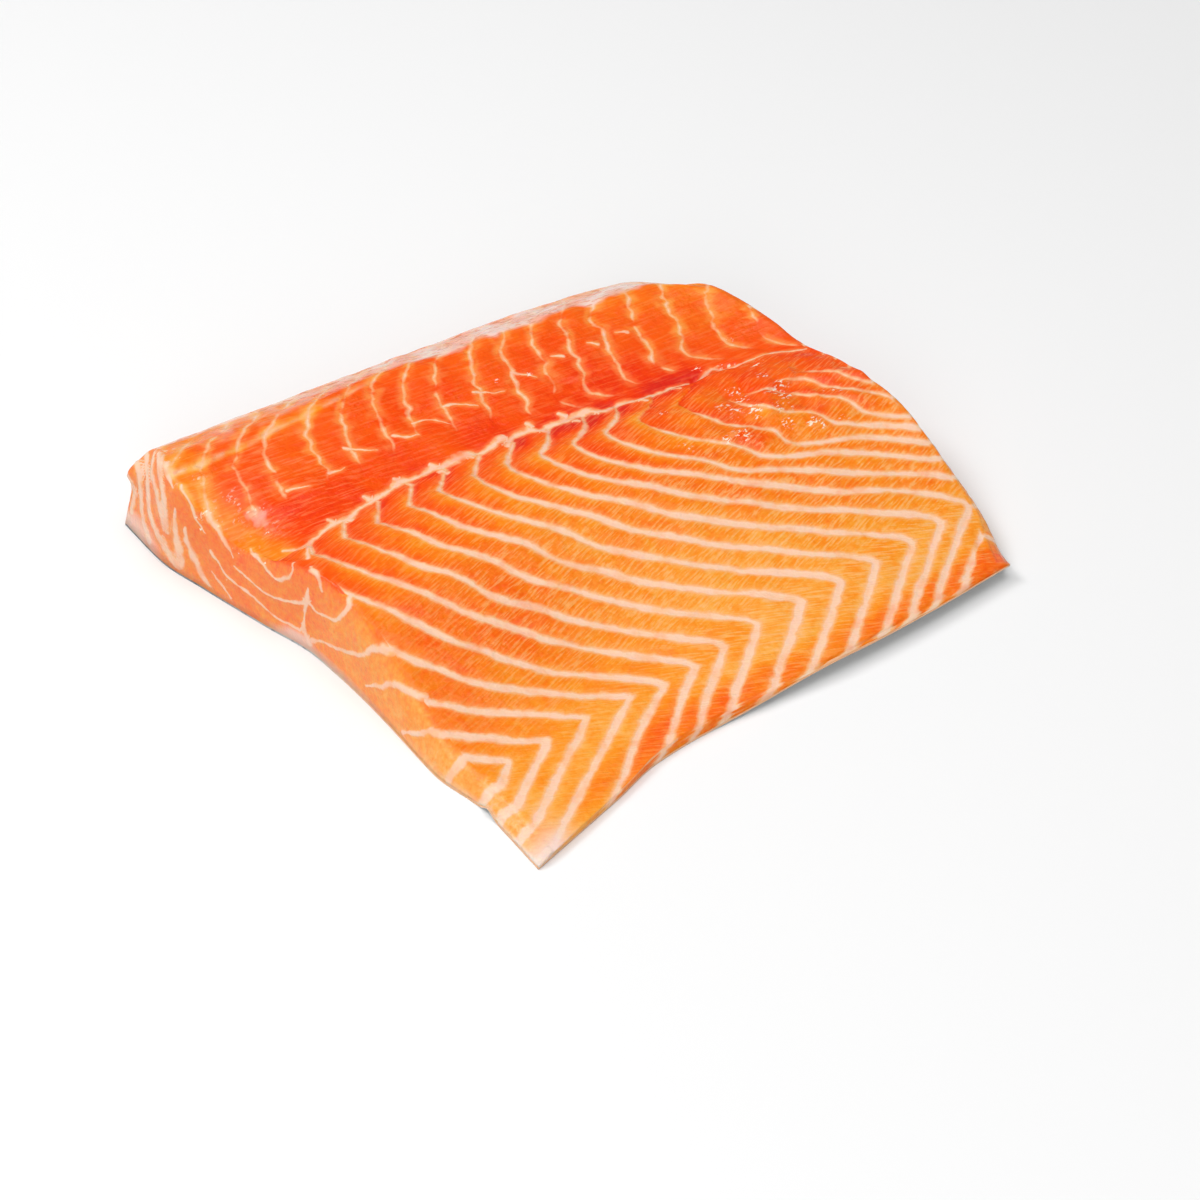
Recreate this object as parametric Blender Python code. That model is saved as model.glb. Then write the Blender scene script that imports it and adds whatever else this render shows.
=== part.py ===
"""Raw salmon fillet: a section of one side of the fish, lying on its skin.

Metres, +Z up. X runs along the fish, from the head end's cut at -X to the tail end's cut at +X.
Y runs from the thin belly edge at -Y to the thick back at +Y. The skin's underside is at Z = 0,
and the origin is the middle of the footprint.

The fillet is worked out on a patch with three coordinates. u runs along the fish from 0 to 1,
v runs across it from the belly, 0, to the back, 1, and w climbs the sides from the foot, 0,
to the upper face, 1.
"""
import math

import bmesh
import bpy
import numpy as np

NAME = "salmon_fillet"

# Foot of the fillet on the surface that it lies on, each edge as a few stations along it
HEAD_CUT_Y = (-0.131, -0.100, -0.076, -0.043, -0.005, 0.020, 0.047, 0.070, 0.095)
HEAD_CUT_X = (-0.101, -0.102, -0.107, -0.108, -0.1115, -0.119, -0.127, -0.133, -0.1345)
TAIL_CUT_Y = (-0.092, -0.060, -0.020, 0.020, 0.060, 0.089)
TAIL_CUT_X = (0.107, 0.117, 0.1195, 0.113, 0.104, 0.091)
BELLY_X = (-0.101, -0.064, -0.044, -0.020, 0.000, 0.040, 0.070, 0.107)
BELLY_Y = (-0.131, -0.117, -0.109, -0.105, -0.104, -0.1015, -0.098, -0.092)
BACK_X = (-0.1345, -0.090, -0.030, 0.030, 0.070, 0.091)
BACK_Y = (0.095, 0.097, 0.101, 0.104, 0.102, 0.089)

# Height of the upper face across the fillet, at the head end's cut and at the tail end's
SECTION_V = (0.0, 0.04, 0.14, 0.22, 0.30, 0.40, 0.50, 0.59, 0.69, 0.80, 0.88, 0.94, 1.0)
HEAD_Z = (0.0025, 0.0032, 0.0050, 0.0082, 0.0138, 0.0217, 0.0287, 0.0305, 0.0275, 0.0310, 0.0343,
          0.0365, 0.0330)
TAIL_Z = (0.0070, 0.0076, 0.0110, 0.0140, 0.0180, 0.0230, 0.0270, 0.0280, 0.0260, 0.0292, 0.0323,
          0.0340, 0.0300)

# How far each side leans in over its height, and how far it is rounded over at the top
HEAD_LEAN, HEAD_ROUND = 0.0030, 0.0045
HEAD_BACK_LEAN, HEAD_BACK_REACH = 0.0050, 0.06
TAIL_LEAN, TAIL_ROUND = 0.0015, 0.0045
BELLY_LEAN, BELLY_ROUND = 0.0005, 0.0020
BACK_LEAN, BACK_ROUND = 0.0025, 0.0065
SIDE_POWER = 2.0 / 3.0

# The belly edge stands clear of that surface towards the tail end
BELLY_LIFT = 0.005
BELLY_LIFT_WIDTH = 0.12
BELLY_LIFT_START, BELLY_LIFT_END = 0.35, 0.65

# A small lip at the foot of the head end's cut, near the belly
LIP_V, LIP_HALF_WIDTH, LIP_HEIGHT = 0.130, 0.014, 0.0024

# The head end's rim sags between the midline and the back's crest
SAG_V, SAG_WIDTH, SAG_REACH, SAG_DEPTH = 0.77, 0.07, 0.06, 0.0060

# A scrap of flesh that stands out behind the head end's back corner
SCRAP_OUT, SCRAP_W = 0.0040, 0.40

# Low relief of the upper face: the muscle blocks, the midline's fold and the torn patch
MIDLINE_V = 0.695
BLOCK_BULGE = 0.0004

# Walls of the muscle blocks: where one of them runs across the fillet, and how far on the next is
WALL_V = (0.0, 0.03, 0.07, 0.107, 0.15, 0.25, 0.35, 0.45, 0.53, 0.60, 0.65, 0.695)
WALL_U = (0.285, 0.325, 0.375, 0.402, 0.365, 0.270, 0.185, 0.105, 0.060, 0.044, 0.040, 0.070)
PITCH_V = (0.0, 0.10, 0.17, 0.30, 0.45, 0.56, 0.695)
PITCH_U = (0.073, 0.072, 0.079, 0.072, 0.062, 0.058, 0.062)
BACK_WALL_V = (0.695, 0.75, 0.80, 0.86, 0.90, 0.94, 1.0)
BACK_WALL_U = (0.030, 0.045, 0.070, 0.094, 0.108, 0.150, 0.190)
BACK_PITCH_U = 0.0597

FOLD_DEPTH = 0.0026
FOLD_U, FOLD_LENGTH, FOLD_WIDTH = 0.83, 0.050, 0.010
TORN_U, TORN_V, TORN_LENGTH, TORN_WIDTH = 0.84, 0.53, 0.14, 0.10
TORN_RELIEF = 0.0011

SKIN_THICKNESS = 0.0008
GAP = 0.0003

# Divisions of the solids
FLESH_ALONG, FLESH_ACROSS = 50, 54
SKIN_ALONG, SKIN_ACROSS = 24, 26
RIM_STEPS = (0.92, 0.78, 0.60, 0.40, 0.20, 0.0)
UNDERSIDE_RINGS = (0.97, 0.90, 0.76)

FLESH_COLOUR = (0.90, 0.22, 0.055, 1.0)
SKIN_COLOUR = (0.33, 0.35, 0.36, 1.0)


def eased(t):
    """Steps from 0 to 1 with level ends."""
    t = np.clip(t, 0.0, 1.0)
    return t * t * (3.0 - 2.0 * t)


def hump(t):
    """A bell that is 1 at 0 and has faded at 2."""
    return np.exp(-np.square(t))


def curve(at, xs, ys):
    """A smooth line through a few stations that never overshoots them."""
    xs = np.asarray(xs, dtype=float)
    ys = np.asarray(ys, dtype=float)
    step = np.diff(xs)
    rise = np.diff(ys) / step
    slope = np.zeros_like(ys)
    product = rise[:-1] * rise[1:]
    total = rise[:-1] + rise[1:]
    turning = product <= 0.0
    slope[1:-1] = np.where(turning, 0.0, 2.0 * product / np.where(turning, 1.0, total))
    slope[0] = rise[0]
    slope[-1] = rise[-1]
    at = np.clip(at, xs[0], xs[-1])
    k = np.clip(np.searchsorted(xs, at) - 1, 0, len(step) - 1)
    t = (at - xs[k]) / step[k]
    start = ys[k] * (1.0 + 2.0 * t) * (1.0 - t) ** 2 + slope[k] * step[k] * t * (1.0 - t) ** 2
    end = ys[k + 1] * t * t * (3.0 - 2.0 * t) + slope[k + 1] * step[k] * t * t * (t - 1.0)
    return start + end


def head_foot(v):
    y = HEAD_CUT_Y[0] + v * (HEAD_CUT_Y[-1] - HEAD_CUT_Y[0])
    return curve(y, HEAD_CUT_Y, HEAD_CUT_X), y


def tail_foot(v):
    y = TAIL_CUT_Y[0] + v * (TAIL_CUT_Y[-1] - TAIL_CUT_Y[0])
    return curve(y, TAIL_CUT_Y, TAIL_CUT_X), y


def belly_foot(u):
    x = BELLY_X[0] + u * (BELLY_X[-1] - BELLY_X[0])
    return x, curve(x, BELLY_X, BELLY_Y)


def back_foot(u):
    x = BACK_X[0] + u * (BACK_X[-1] - BACK_X[0])
    return x, curve(x, BACK_X, BACK_Y)


def plan(u, v):
    """The foot's outline blended inwards, as a patch between its four edges."""
    corners = (belly_foot(0.0), belly_foot(1.0), back_foot(0.0), back_foot(1.0))
    place = []
    for axis in (0, 1):
        across = (1.0 - u) * head_foot(v)[axis] + u * tail_foot(v)[axis]
        along = (1.0 - v) * belly_foot(u)[axis] + v * back_foot(u)[axis]
        low = (1.0 - u) * corners[0][axis] + u * corners[1][axis]
        high = (1.0 - u) * corners[2][axis] + u * corners[3][axis]
        place.append(across + along - (1.0 - v) * low - v * high)
    return place[0], place[1]


def underside(u, v):
    """Height of the skin's underside: flat but for the raised belly edge and the lip."""
    lift = BELLY_LIFT * eased((u - BELLY_LIFT_START) / (BELLY_LIFT_END - BELLY_LIFT_START))
    raised = lift * np.clip(1.0 - v / BELLY_LIFT_WIDTH, 0.0, 1.0) ** 1.5
    return raised


def lip(u, v):
    """How far the flesh is lifted off its skin at the lip."""
    return LIP_HEIGHT * hump((v - LIP_V) / LIP_HALF_WIDTH) * hump(u / 0.02)


def block_phase(u, v):
    """Counts the muscle blocks along the fish, with a whole number at each wall between two."""
    belly_side = (u - curve(v, WALL_V, WALL_U)) / curve(v, PITCH_V, PITCH_U)
    back_side = (u - curve(v, BACK_WALL_V, BACK_WALL_U)) / BACK_PITCH_U
    return np.where(v < MIDLINE_V, belly_side, back_side)


def relief(u, v):
    """Low relief of the upper face, in metres."""
    blocks = BLOCK_BULGE * np.abs(np.sin(math.pi * block_phase(u, v)))
    fold = -FOLD_DEPTH * hump((u - FOLD_U) / FOLD_LENGTH) * hump((v - MIDLINE_V) / FOLD_WIDTH)
    torn_here = hump((u - TORN_U) / TORN_LENGTH) * hump((v - TORN_V) / TORN_WIDTH)
    torn = TORN_RELIEF * np.sin(38.0 * u + 21.0 * v) * np.sin(47.0 * v - 9.0 * u)
    return blocks + fold + torn * torn_here


def upper_face(u, v):
    """Height of the upper face."""
    mix = eased(u)
    level = (1.0 - mix) * curve(v, SECTION_V, HEAD_Z) + mix * curve(v, SECTION_V, TAIL_Z)
    sag = SAG_DEPTH * hump((v - SAG_V) / SAG_WIDTH) * hump(u / SAG_REACH)
    return level - sag + relief(u, v)


def fillet_point(u, v, w):
    """A point of the outside of the flesh from its three patch coordinates."""
    turn = np.clip(w, 0.0, 1.0) * math.pi / 2.0
    rise = np.sin(turn) ** SIDE_POWER
    over = 1.0 - np.clip(np.cos(turn), 0.0, 1.0) ** SIDE_POWER
    x, y = plan(u, v)
    head_lean = HEAD_LEAN + HEAD_BACK_LEAN * hump((1.0 - v) / HEAD_BACK_REACH)
    x = x + (1.0 - u) * (head_lean * rise + HEAD_ROUND * over)
    x = x - u * (TAIL_LEAN * rise + TAIL_ROUND * over)
    y = y + (1.0 - v) * (BELLY_LEAN * rise + BELLY_ROUND * over)
    y = y - v * (BACK_LEAN * rise + BACK_ROUND * over)
    scrap = SCRAP_OUT * hump((1.0 - v) / 0.03) * hump(u / 0.03) * hump((w - SCRAP_W) / 0.15)
    foot = underside(u, v) + lip(u, v) + SKIN_THICKNESS + GAP
    return x - scrap, y, foot + (upper_face(u, v) - foot) * rise


def patch_grid(along, across):
    """A flat grid whose x and y are u and v, and whose z is w."""
    bm = bmesh.new()
    bmesh.ops.create_grid(bm, x_segments=along, y_segments=across, size=0.5)
    bmesh.ops.translate(bm, verts=bm.verts, vec=(0.5, 0.5, 1.0))
    return bm


def rim_edges(bm):
    return [edge for edge in bm.edges if edge.is_boundary]


def extruded_rim(bm):
    """Extrudes the open rim and returns its new vertices."""
    made = bmesh.ops.extrude_edge_only(bm, edges=rim_edges(bm))["geom"]
    return [item for item in made if isinstance(item, bmesh.types.BMVert)]


def place_vertices(bm, placed):
    """Moves every vertex from patch coordinates to its place."""
    patch = np.array([vert.co[:] for vert in bm.verts])
    places = np.stack(placed(patch[:, 0], patch[:, 1], patch[:, 2]), axis=-1)
    for vert, place in zip(bm.verts, places):
        vert.co = place


def finish_object(bm, name, material, collection):
    """Turns a closed bmesh into a named object."""
    bmesh.ops.triangulate(bm, faces=bm.faces)
    bmesh.ops.recalc_face_normals(bm, faces=bm.faces)
    mesh = bpy.data.meshes.new(name)
    bm.to_mesh(mesh)
    bm.free()
    mesh.shade_smooth()
    mesh.materials.append(material)
    made = bpy.data.objects.new(name, mesh)
    collection.objects.link(made)
    return made


def make_material(name, colour, roughness):
    material = bpy.data.materials.new(name)
    material.use_nodes = True
    shader = material.node_tree.nodes["Principled BSDF"]
    shader.inputs["Base Color"].default_value = colour
    shader.inputs["Roughness"].default_value = roughness
    shader.inputs["Metallic"].default_value = 0.0
    return material


def make_flesh(collection):
    """The flesh: an upper face, sides that climb down to the foot, and the underside."""
    bm = patch_grid(FLESH_ALONG, FLESH_ACROSS)
    for w in RIM_STEPS:
        for vert in extruded_rim(bm):
            vert.co.z = w
    reached = 1.0
    for ring in UNDERSIDE_RINGS:
        for vert in extruded_rim(bm):
            vert.co.x = 0.5 + (vert.co.x - 0.5) * ring / reached
            vert.co.y = 0.5 + (vert.co.y - 0.5) * ring / reached
        reached = ring
    bmesh.ops.contextual_create(bm, geom=rim_edges(bm))
    place_vertices(bm, fillet_point)
    return finish_object(bm, "flesh", make_material("flesh", FLESH_COLOUR, 0.35), collection)


def skin_point(u, v, w):
    """A point of the skin's lower face where w is 0, and of its upper face where w is 1."""
    x, y = plan(u, v)
    return x, y, underside(u, v) + SKIN_THICKNESS * w


def make_skin(collection):
    """The skin: a thin sheet under all of the flesh."""
    bm = patch_grid(SKIN_ALONG, SKIN_ACROSS)
    lower = bmesh.ops.duplicate(bm, geom=bm.verts[:] + bm.edges[:] + bm.faces[:])["geom"]
    for item in lower:
        if isinstance(item, bmesh.types.BMVert):
            item.co.z = 0.0
    bmesh.ops.bridge_loops(bm, edges=rim_edges(bm))
    place_vertices(bm, skin_point)
    return finish_object(bm, "skin", make_material("skin", SKIN_COLOUR, 0.45), collection)


def centre_on_origin(objects):
    """Slides the pieces together until the origin is the middle of their footprint."""
    corners = np.array([vert.co[:] for item in objects for vert in item.data.vertices])
    low = corners.min(axis=0)
    high = corners.max(axis=0)
    middle = (low + high) / 2.0
    for item in objects:
        for vert in item.data.vertices:
            vert.co.x -= middle[0]
            vert.co.y -= middle[1]
            vert.co.z -= low[2]


def main():
    for item in list(bpy.data.objects):
        bpy.data.objects.remove(item, do_unlink=True)
    collection = bpy.data.collections.new(NAME)
    bpy.context.scene.collection.children.link(collection)
    centre_on_origin([make_flesh(collection), make_skin(collection)])


main()
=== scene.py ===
# %% [markdown]
# # A raw salmon fillet
# A fillet is one side of the fish, taken off along the backbone. This one is a section of such a
# side: the head end's cut faces left, the tail end's cut faces right, the thick back lies behind
# and the thin belly edge in front. It rests on its skin. The solids of the flesh and the skin are
# loaded first. They fix the size and the place of everything below, and no solid is moved.

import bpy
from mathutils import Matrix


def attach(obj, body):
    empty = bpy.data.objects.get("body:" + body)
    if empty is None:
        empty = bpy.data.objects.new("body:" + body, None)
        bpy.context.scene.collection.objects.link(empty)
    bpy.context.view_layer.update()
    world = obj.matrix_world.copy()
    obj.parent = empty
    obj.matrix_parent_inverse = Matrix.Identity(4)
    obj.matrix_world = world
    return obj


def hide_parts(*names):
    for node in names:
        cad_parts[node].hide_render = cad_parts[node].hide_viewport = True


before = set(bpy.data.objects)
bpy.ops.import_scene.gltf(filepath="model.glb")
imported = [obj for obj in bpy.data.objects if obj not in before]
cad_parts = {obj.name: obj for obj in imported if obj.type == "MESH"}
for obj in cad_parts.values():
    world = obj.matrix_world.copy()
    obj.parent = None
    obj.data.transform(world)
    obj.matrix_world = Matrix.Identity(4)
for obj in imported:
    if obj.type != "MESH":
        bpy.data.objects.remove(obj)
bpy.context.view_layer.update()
print("nodes:", sorted(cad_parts))

# %% [markdown]
# ## The studio
# The photograph looks down at the fillet from the front left with a long lens, so the camera is
# set first and every later choice is judged through it. The floor is plain and nearly white, and
# the light is soft and bright: one large lamp high behind, one overhead and a weak one in front.
# Nothing bright stands where the wet top would mirror it into the lens, because that would wash
# out the deep orange.

# %% The camera
import math

import bmesh
import bpy
import numpy as np
from mathutils import Matrix, Vector

CAMERA_PLACE = Vector((-0.4376, -0.7306, 0.6653))
CAMERA_AIM = Vector((-0.0091, -0.0151, 0.0))
CAMERA_ROLL = math.radians(-0.773)
LENS_MM = 95.13


def aimed_camera():
    forward = (CAMERA_AIM - CAMERA_PLACE).normalized()
    level_right = forward.cross(Vector((0.0, 0.0, 1.0))).normalized()
    level_up = level_right.cross(forward)
    right = math.cos(CAMERA_ROLL) * level_right + math.sin(CAMERA_ROLL) * level_up
    up = right.cross(forward)
    lens = bpy.data.cameras.new("camera")
    lens.lens = LENS_MM
    lens.sensor_width = 36.0
    lens.clip_start = 0.01
    camera = bpy.data.objects.new("camera", lens)
    turn = Matrix((right, up, -forward)).transposed()
    camera.matrix_world = Matrix.Translation(CAMERA_PLACE) @ turn.to_4x4()
    bpy.context.scene.collection.objects.link(camera)
    bpy.context.scene.camera = camera
    return camera


print("camera:", aimed_camera().name, "lens", LENS_MM, "mm")

# %% The floor
FLOOR_SIZE = 6.0


def plain_material(name, colour, roughness):
    material = bpy.data.materials.new(name)
    material.use_nodes = True
    shader = material.node_tree.nodes["Principled BSDF"]
    shader.inputs["Base Color"].default_value = (*colour, 1.0)
    shader.inputs["Roughness"].default_value = roughness
    return material


def make_floor():
    bm = bmesh.new()
    bmesh.ops.create_grid(bm, x_segments=1, y_segments=1, size=FLOOR_SIZE / 2.0)
    mesh = bpy.data.meshes.new("floor")
    bm.to_mesh(mesh)
    bm.free()
    mesh.materials.append(plain_material("floor_white", (0.93, 0.93, 0.93), 0.6))
    made = bpy.data.objects.new("floor", mesh)
    bpy.context.scene.collection.objects.link(made)
    return made


floor = make_floor()
print("floor:", FLOOR_SIZE, "m across")

# %% The lamps
LAMPS = {
    "key_behind_left": {"place": (-0.75, 0.85, 1.45), "size": 0.9, "watts": 15.0},
    "overhead": {"place": (0.15, -0.05, 1.9), "size": 1.6, "watts": 17.5},
    "front_fill": {"place": (-0.95, -1.15, 0.75), "size": 1.0, "watts": 9.5},
}
SKY = (0.18, 0.18, 0.18)


def make_lamp(name, place, size, watts):
    light = bpy.data.lights.new(name, "AREA")
    light.shape = "DISK"
    light.size = size
    light.energy = watts
    lamp = bpy.data.objects.new(name, light)
    lamp.location = place
    lamp.rotation_euler = (-Vector(place)).to_track_quat("-Z", "Y").to_euler()
    bpy.context.scene.collection.objects.link(lamp)


for lamp_name, lamp in LAMPS.items():
    make_lamp(lamp_name, **lamp)
world = bpy.data.worlds.new("studio")
world.use_nodes = True
world.node_tree.nodes["Background"].inputs["Color"].default_value = (*SKY, 1.0)
bpy.context.scene.world = world
bpy.context.scene.view_settings.view_transform = "Standard"
print("lamps:", ", ".join(LAMPS))

# %% [markdown]
# ## The shape, as a patch
# The flesh is one soft form with a few clear edges, so it is worked out on a patch. u runs along
# the fish from 0 to 1, v runs from the belly, 0, to the back, 1, and w climbs the sides from the
# foot, 0, to the upper face, 1. A few stations along each edge give the outline, and a few across
# the fillet give its height. A smooth curve runs through them without overshooting, so that a
# thin edge never dips through the floor.

# %% Curves and noise
def eased(t):
    """Steps from 0 to 1 with level ends."""
    t = np.clip(t, 0.0, 1.0)
    return t * t * (3.0 - 2.0 * t)


def hump(t):
    """A bell that is 1 at 0 and has faded at 2."""
    return np.exp(-np.square(t))


def curve(at, xs, ys):
    """A smooth line through a few stations that never overshoots them."""
    xs = np.asarray(xs, dtype=float)
    ys = np.asarray(ys, dtype=float)
    step = np.diff(xs)
    rise = np.diff(ys) / step
    slope = np.zeros_like(ys)
    product = rise[:-1] * rise[1:]
    total = rise[:-1] + rise[1:]
    turning = product <= 0.0
    slope[1:-1] = np.where(turning, 0.0, 2.0 * product / np.where(turning, 1.0, total))
    slope[0] = rise[0]
    slope[-1] = rise[-1]
    at = np.clip(at, xs[0], xs[-1])
    k = np.clip(np.searchsorted(xs, at) - 1, 0, len(step) - 1)
    t = (at - xs[k]) / step[k]
    start = ys[k] * (1.0 + 2.0 * t) * (1.0 - t) ** 2 + slope[k] * step[k] * t * (1.0 - t) ** 2
    end = ys[k + 1] * t * t * (3.0 - 2.0 * t) + slope[k + 1] * step[k] * t * t * (t - 1.0)
    return start + end


NOISE_CELLS = 24


def soft_noise(places, size, seed):
    """Smooth noise from about -1 to 1 at an array of points, with lumps about size across."""
    lattice = np.random.default_rng(seed).uniform(-1.0, 1.0, (NOISE_CELLS,) * 3)
    cell = np.asarray(places) / size
    base = np.floor(cell).astype(int)
    part = eased(cell - base)
    total = np.zeros(len(cell))
    for corner in np.ndindex(2, 2, 2):
        share = np.prod(np.where(corner, part, 1.0 - part), axis=1)
        index = (base + corner) % NOISE_CELLS
        total += share * lattice[index[:, 0], index[:, 1], index[:, 2]]
    return total


def wander(places, strengths_and_sizes, seed):
    """Several layers of noise added up, each with a strength, a size and a seed of its own."""
    total = 0.0
    for step, (strength, size) in enumerate(strengths_and_sizes):
        total = total + strength * soft_noise(places, size, seed + step)
    return total


print("a step eased at one half:", float(eased(0.5)))

# %% Outline of the foot
HEAD_CUT_Y = (-0.131, -0.100, -0.076, -0.043, -0.005, 0.020, 0.047, 0.070, 0.095)
HEAD_CUT_X = (-0.101, -0.102, -0.107, -0.108, -0.1115, -0.119, -0.127, -0.133, -0.1345)
TAIL_CUT_Y = (-0.092, -0.060, -0.020, 0.020, 0.060, 0.089)
TAIL_CUT_X = (0.107, 0.117, 0.1195, 0.113, 0.104, 0.091)
BELLY_X = (-0.101, -0.064, -0.044, -0.020, 0.000, 0.040, 0.070, 0.107)
BELLY_Y = (-0.131, -0.117, -0.109, -0.105, -0.104, -0.1015, -0.098, -0.092)
BACK_X = (-0.1345, -0.090, -0.030, 0.030, 0.070, 0.091)
BACK_Y = (0.095, 0.097, 0.101, 0.104, 0.102, 0.089)
MIDDLE_X = (min(HEAD_CUT_X) + max(TAIL_CUT_X)) / 2.0
MIDDLE_Y = (min(BELLY_Y) + max(BACK_Y)) / 2.0


def head_foot(v):
    y = HEAD_CUT_Y[0] + v * (HEAD_CUT_Y[-1] - HEAD_CUT_Y[0])
    return curve(y, HEAD_CUT_Y, HEAD_CUT_X), y


def tail_foot(v):
    y = TAIL_CUT_Y[0] + v * (TAIL_CUT_Y[-1] - TAIL_CUT_Y[0])
    return curve(y, TAIL_CUT_Y, TAIL_CUT_X), y


def belly_foot(u):
    x = BELLY_X[0] + u * (BELLY_X[-1] - BELLY_X[0])
    return x, curve(x, BELLY_X, BELLY_Y)


def back_foot(u):
    x = BACK_X[0] + u * (BACK_X[-1] - BACK_X[0])
    return x, curve(x, BACK_X, BACK_Y)


def plan(u, v):
    """The foot's outline blended inwards, as a patch between its four edges."""
    corners = (belly_foot(0.0), belly_foot(1.0), back_foot(0.0), back_foot(1.0))
    place = []
    for axis, middle in ((0, MIDDLE_X), (1, MIDDLE_Y)):
        across = (1.0 - u) * head_foot(v)[axis] + u * tail_foot(v)[axis]
        along = (1.0 - v) * belly_foot(u)[axis] + v * back_foot(u)[axis]
        low = (1.0 - u) * corners[0][axis] + u * corners[1][axis]
        high = (1.0 - u) * corners[2][axis] + u * corners[3][axis]
        place.append(across + along - (1.0 - v) * low - v * high - middle)
    return place[0], place[1]


print("foot spans", round(max(TAIL_CUT_X) - min(HEAD_CUT_X), 4), "m along the fish")

# %% Height of the flesh, and its sides
SECTION_V = (0.0, 0.04, 0.14, 0.22, 0.30, 0.40, 0.50, 0.59, 0.69, 0.80, 0.88, 0.94, 1.0)
HEAD_Z = (0.0025, 0.0032, 0.0050, 0.0082, 0.0138, 0.0217, 0.0287, 0.0305, 0.0275, 0.0310, 0.0343,
          0.0365, 0.0330)
TAIL_Z = (0.0070, 0.0076, 0.0110, 0.0140, 0.0180, 0.0230, 0.0270, 0.0280, 0.0260, 0.0292, 0.0323,
          0.0340, 0.0300)
HEAD_LEAN, HEAD_ROUND = 0.0030, 0.0045
HEAD_BACK_LEAN, HEAD_BACK_REACH = 0.0050, 0.06
TAIL_LEAN, TAIL_ROUND = 0.0015, 0.0045
BELLY_LEAN, BELLY_ROUND = 0.0005, 0.0020
BACK_LEAN, BACK_ROUND = 0.0025, 0.0065
SIDE_POWER = 2.0 / 3.0
BELLY_LIFT, BELLY_LIFT_WIDTH = 0.005, 0.12
BELLY_LIFT_START, BELLY_LIFT_END = 0.35, 0.65
LIP_V, LIP_HALF_WIDTH, LIP_HEIGHT = 0.130, 0.014, 0.0024
SAG_V, SAG_WIDTH, SAG_REACH, SAG_DEPTH = 0.77, 0.07, 0.06, 0.0060
SCRAP_OUT, SCRAP_W = 0.0040, 0.40
FOLD_DEPTH = 0.0026
FOLD_U, FOLD_LENGTH, FOLD_WIDTH = 0.83, 0.050, 0.010
TORN_U, TORN_V, TORN_LENGTH, TORN_WIDTH = 0.84, 0.53, 0.14, 0.10
TORN_RELIEF = 0.0011
SKIN_THICKNESS = 0.0008
SKIN_SINK = 0.0001


def underside(u, v):
    """Height of the skin's lower face. The belly edge stands clear towards the tail end."""
    lift = BELLY_LIFT * eased((u - BELLY_LIFT_START) / (BELLY_LIFT_END - BELLY_LIFT_START))
    return lift * np.clip(1.0 - v / BELLY_LIFT_WIDTH, 0.0, 1.0) ** 1.5


def lip(u, v):
    return LIP_HEIGHT * hump((v - LIP_V) / LIP_HALF_WIDTH) * hump(u / 0.02)


def midline_v(u):
    """Where the white midline runs between the back's muscle and the belly's."""
    return curve(u, (0.0, 0.05, 0.12, 0.25, 0.45, 0.60, 0.70, 0.78, 0.88, 1.0),
                 (0.684, 0.682, 0.694, 0.709, 0.706, 0.695, 0.677, 0.674, 0.672, 0.682))


def torn_here(u, v):
    return hump((u - TORN_U) / TORN_LENGTH) * hump((v - TORN_V) / TORN_WIDTH)


def upper_face(u, v):
    mix = eased(u)
    level = (1.0 - mix) * curve(v, SECTION_V, HEAD_Z) + mix * curve(v, SECTION_V, TAIL_Z)
    sag = SAG_DEPTH * hump((v - SAG_V) / SAG_WIDTH) * hump(u / SAG_REACH)
    fold = FOLD_DEPTH * hump((u - FOLD_U) / FOLD_LENGTH) * hump((v - midline_v(u)) / FOLD_WIDTH)
    torn = TORN_RELIEF * np.sin(38.0 * u + 21.0 * v) * np.sin(47.0 * v - 9.0 * u)
    return level - sag - fold + torn * torn_here(u, v)


def fillet_point(u, v, w):
    """A point of the outside of the flesh from its three patch coordinates."""
    turn = np.clip(w, 0.0, 1.0) * math.pi / 2.0
    rise = np.sin(turn) ** SIDE_POWER
    over = 1.0 - np.clip(np.cos(turn), 0.0, 1.0) ** SIDE_POWER
    x, y = plan(u, v)
    head_lean = HEAD_LEAN + HEAD_BACK_LEAN * hump((1.0 - v) / HEAD_BACK_REACH)
    x = x + (1.0 - u) * (head_lean * rise + HEAD_ROUND * over)
    x = x - u * (TAIL_LEAN * rise + TAIL_ROUND * over)
    y = y + (1.0 - v) * (BELLY_LEAN * rise + BELLY_ROUND * over)
    y = y - v * (BACK_LEAN * rise + BACK_ROUND * over)
    scrap = SCRAP_OUT * hump((1.0 - v) / 0.03) * hump(u / 0.03) * hump((w - SCRAP_W) / 0.15)
    foot = underside(u, v) + lip(u, v) + SKIN_THICKNESS - SKIN_SINK
    return np.stack([x - scrap, y, foot + (upper_face(u, v) - foot) * rise], axis=-1)


crest = fillet_point(np.array([0.0]), np.array([0.94]), np.array([1.0]))[0]
print("crest at the head end:", [round(float(c), 4) for c in crest])

# %% [markdown]
# ## The flesh's mesh
# The mesh starts as one fine grid, whose corners are the patch's own u and v. Its rim is extruded
# down the sides in small steps and then inwards under the fillet, and one last face closes it.
# Only then is every vertex moved from its patch coordinates to its place. One closed mesh has no
# seams, and its spacing, under a millimetre, is fine enough for the fat lines and the flakes to
# be real relief.

# %% A closed patch
FLESH_ALONG, FLESH_ACROSS, FLESH_RIM = 250, 228, 36
RINGS = (0.97, 0.90, 0.76)


def extruded(bm, edges):
    """Extrudes a loop of edges and returns the new loop's vertices and edges."""
    made = bmesh.ops.extrude_edge_only(bm, edges=edges)["geom"]
    verts = [item for item in made if isinstance(item, bmesh.types.BMVert)]
    fresh = set(verts)
    loop = [item for item in made if isinstance(item, bmesh.types.BMEdge)
            and item.verts[0] in fresh and item.verts[1] in fresh]
    return verts, loop


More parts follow.
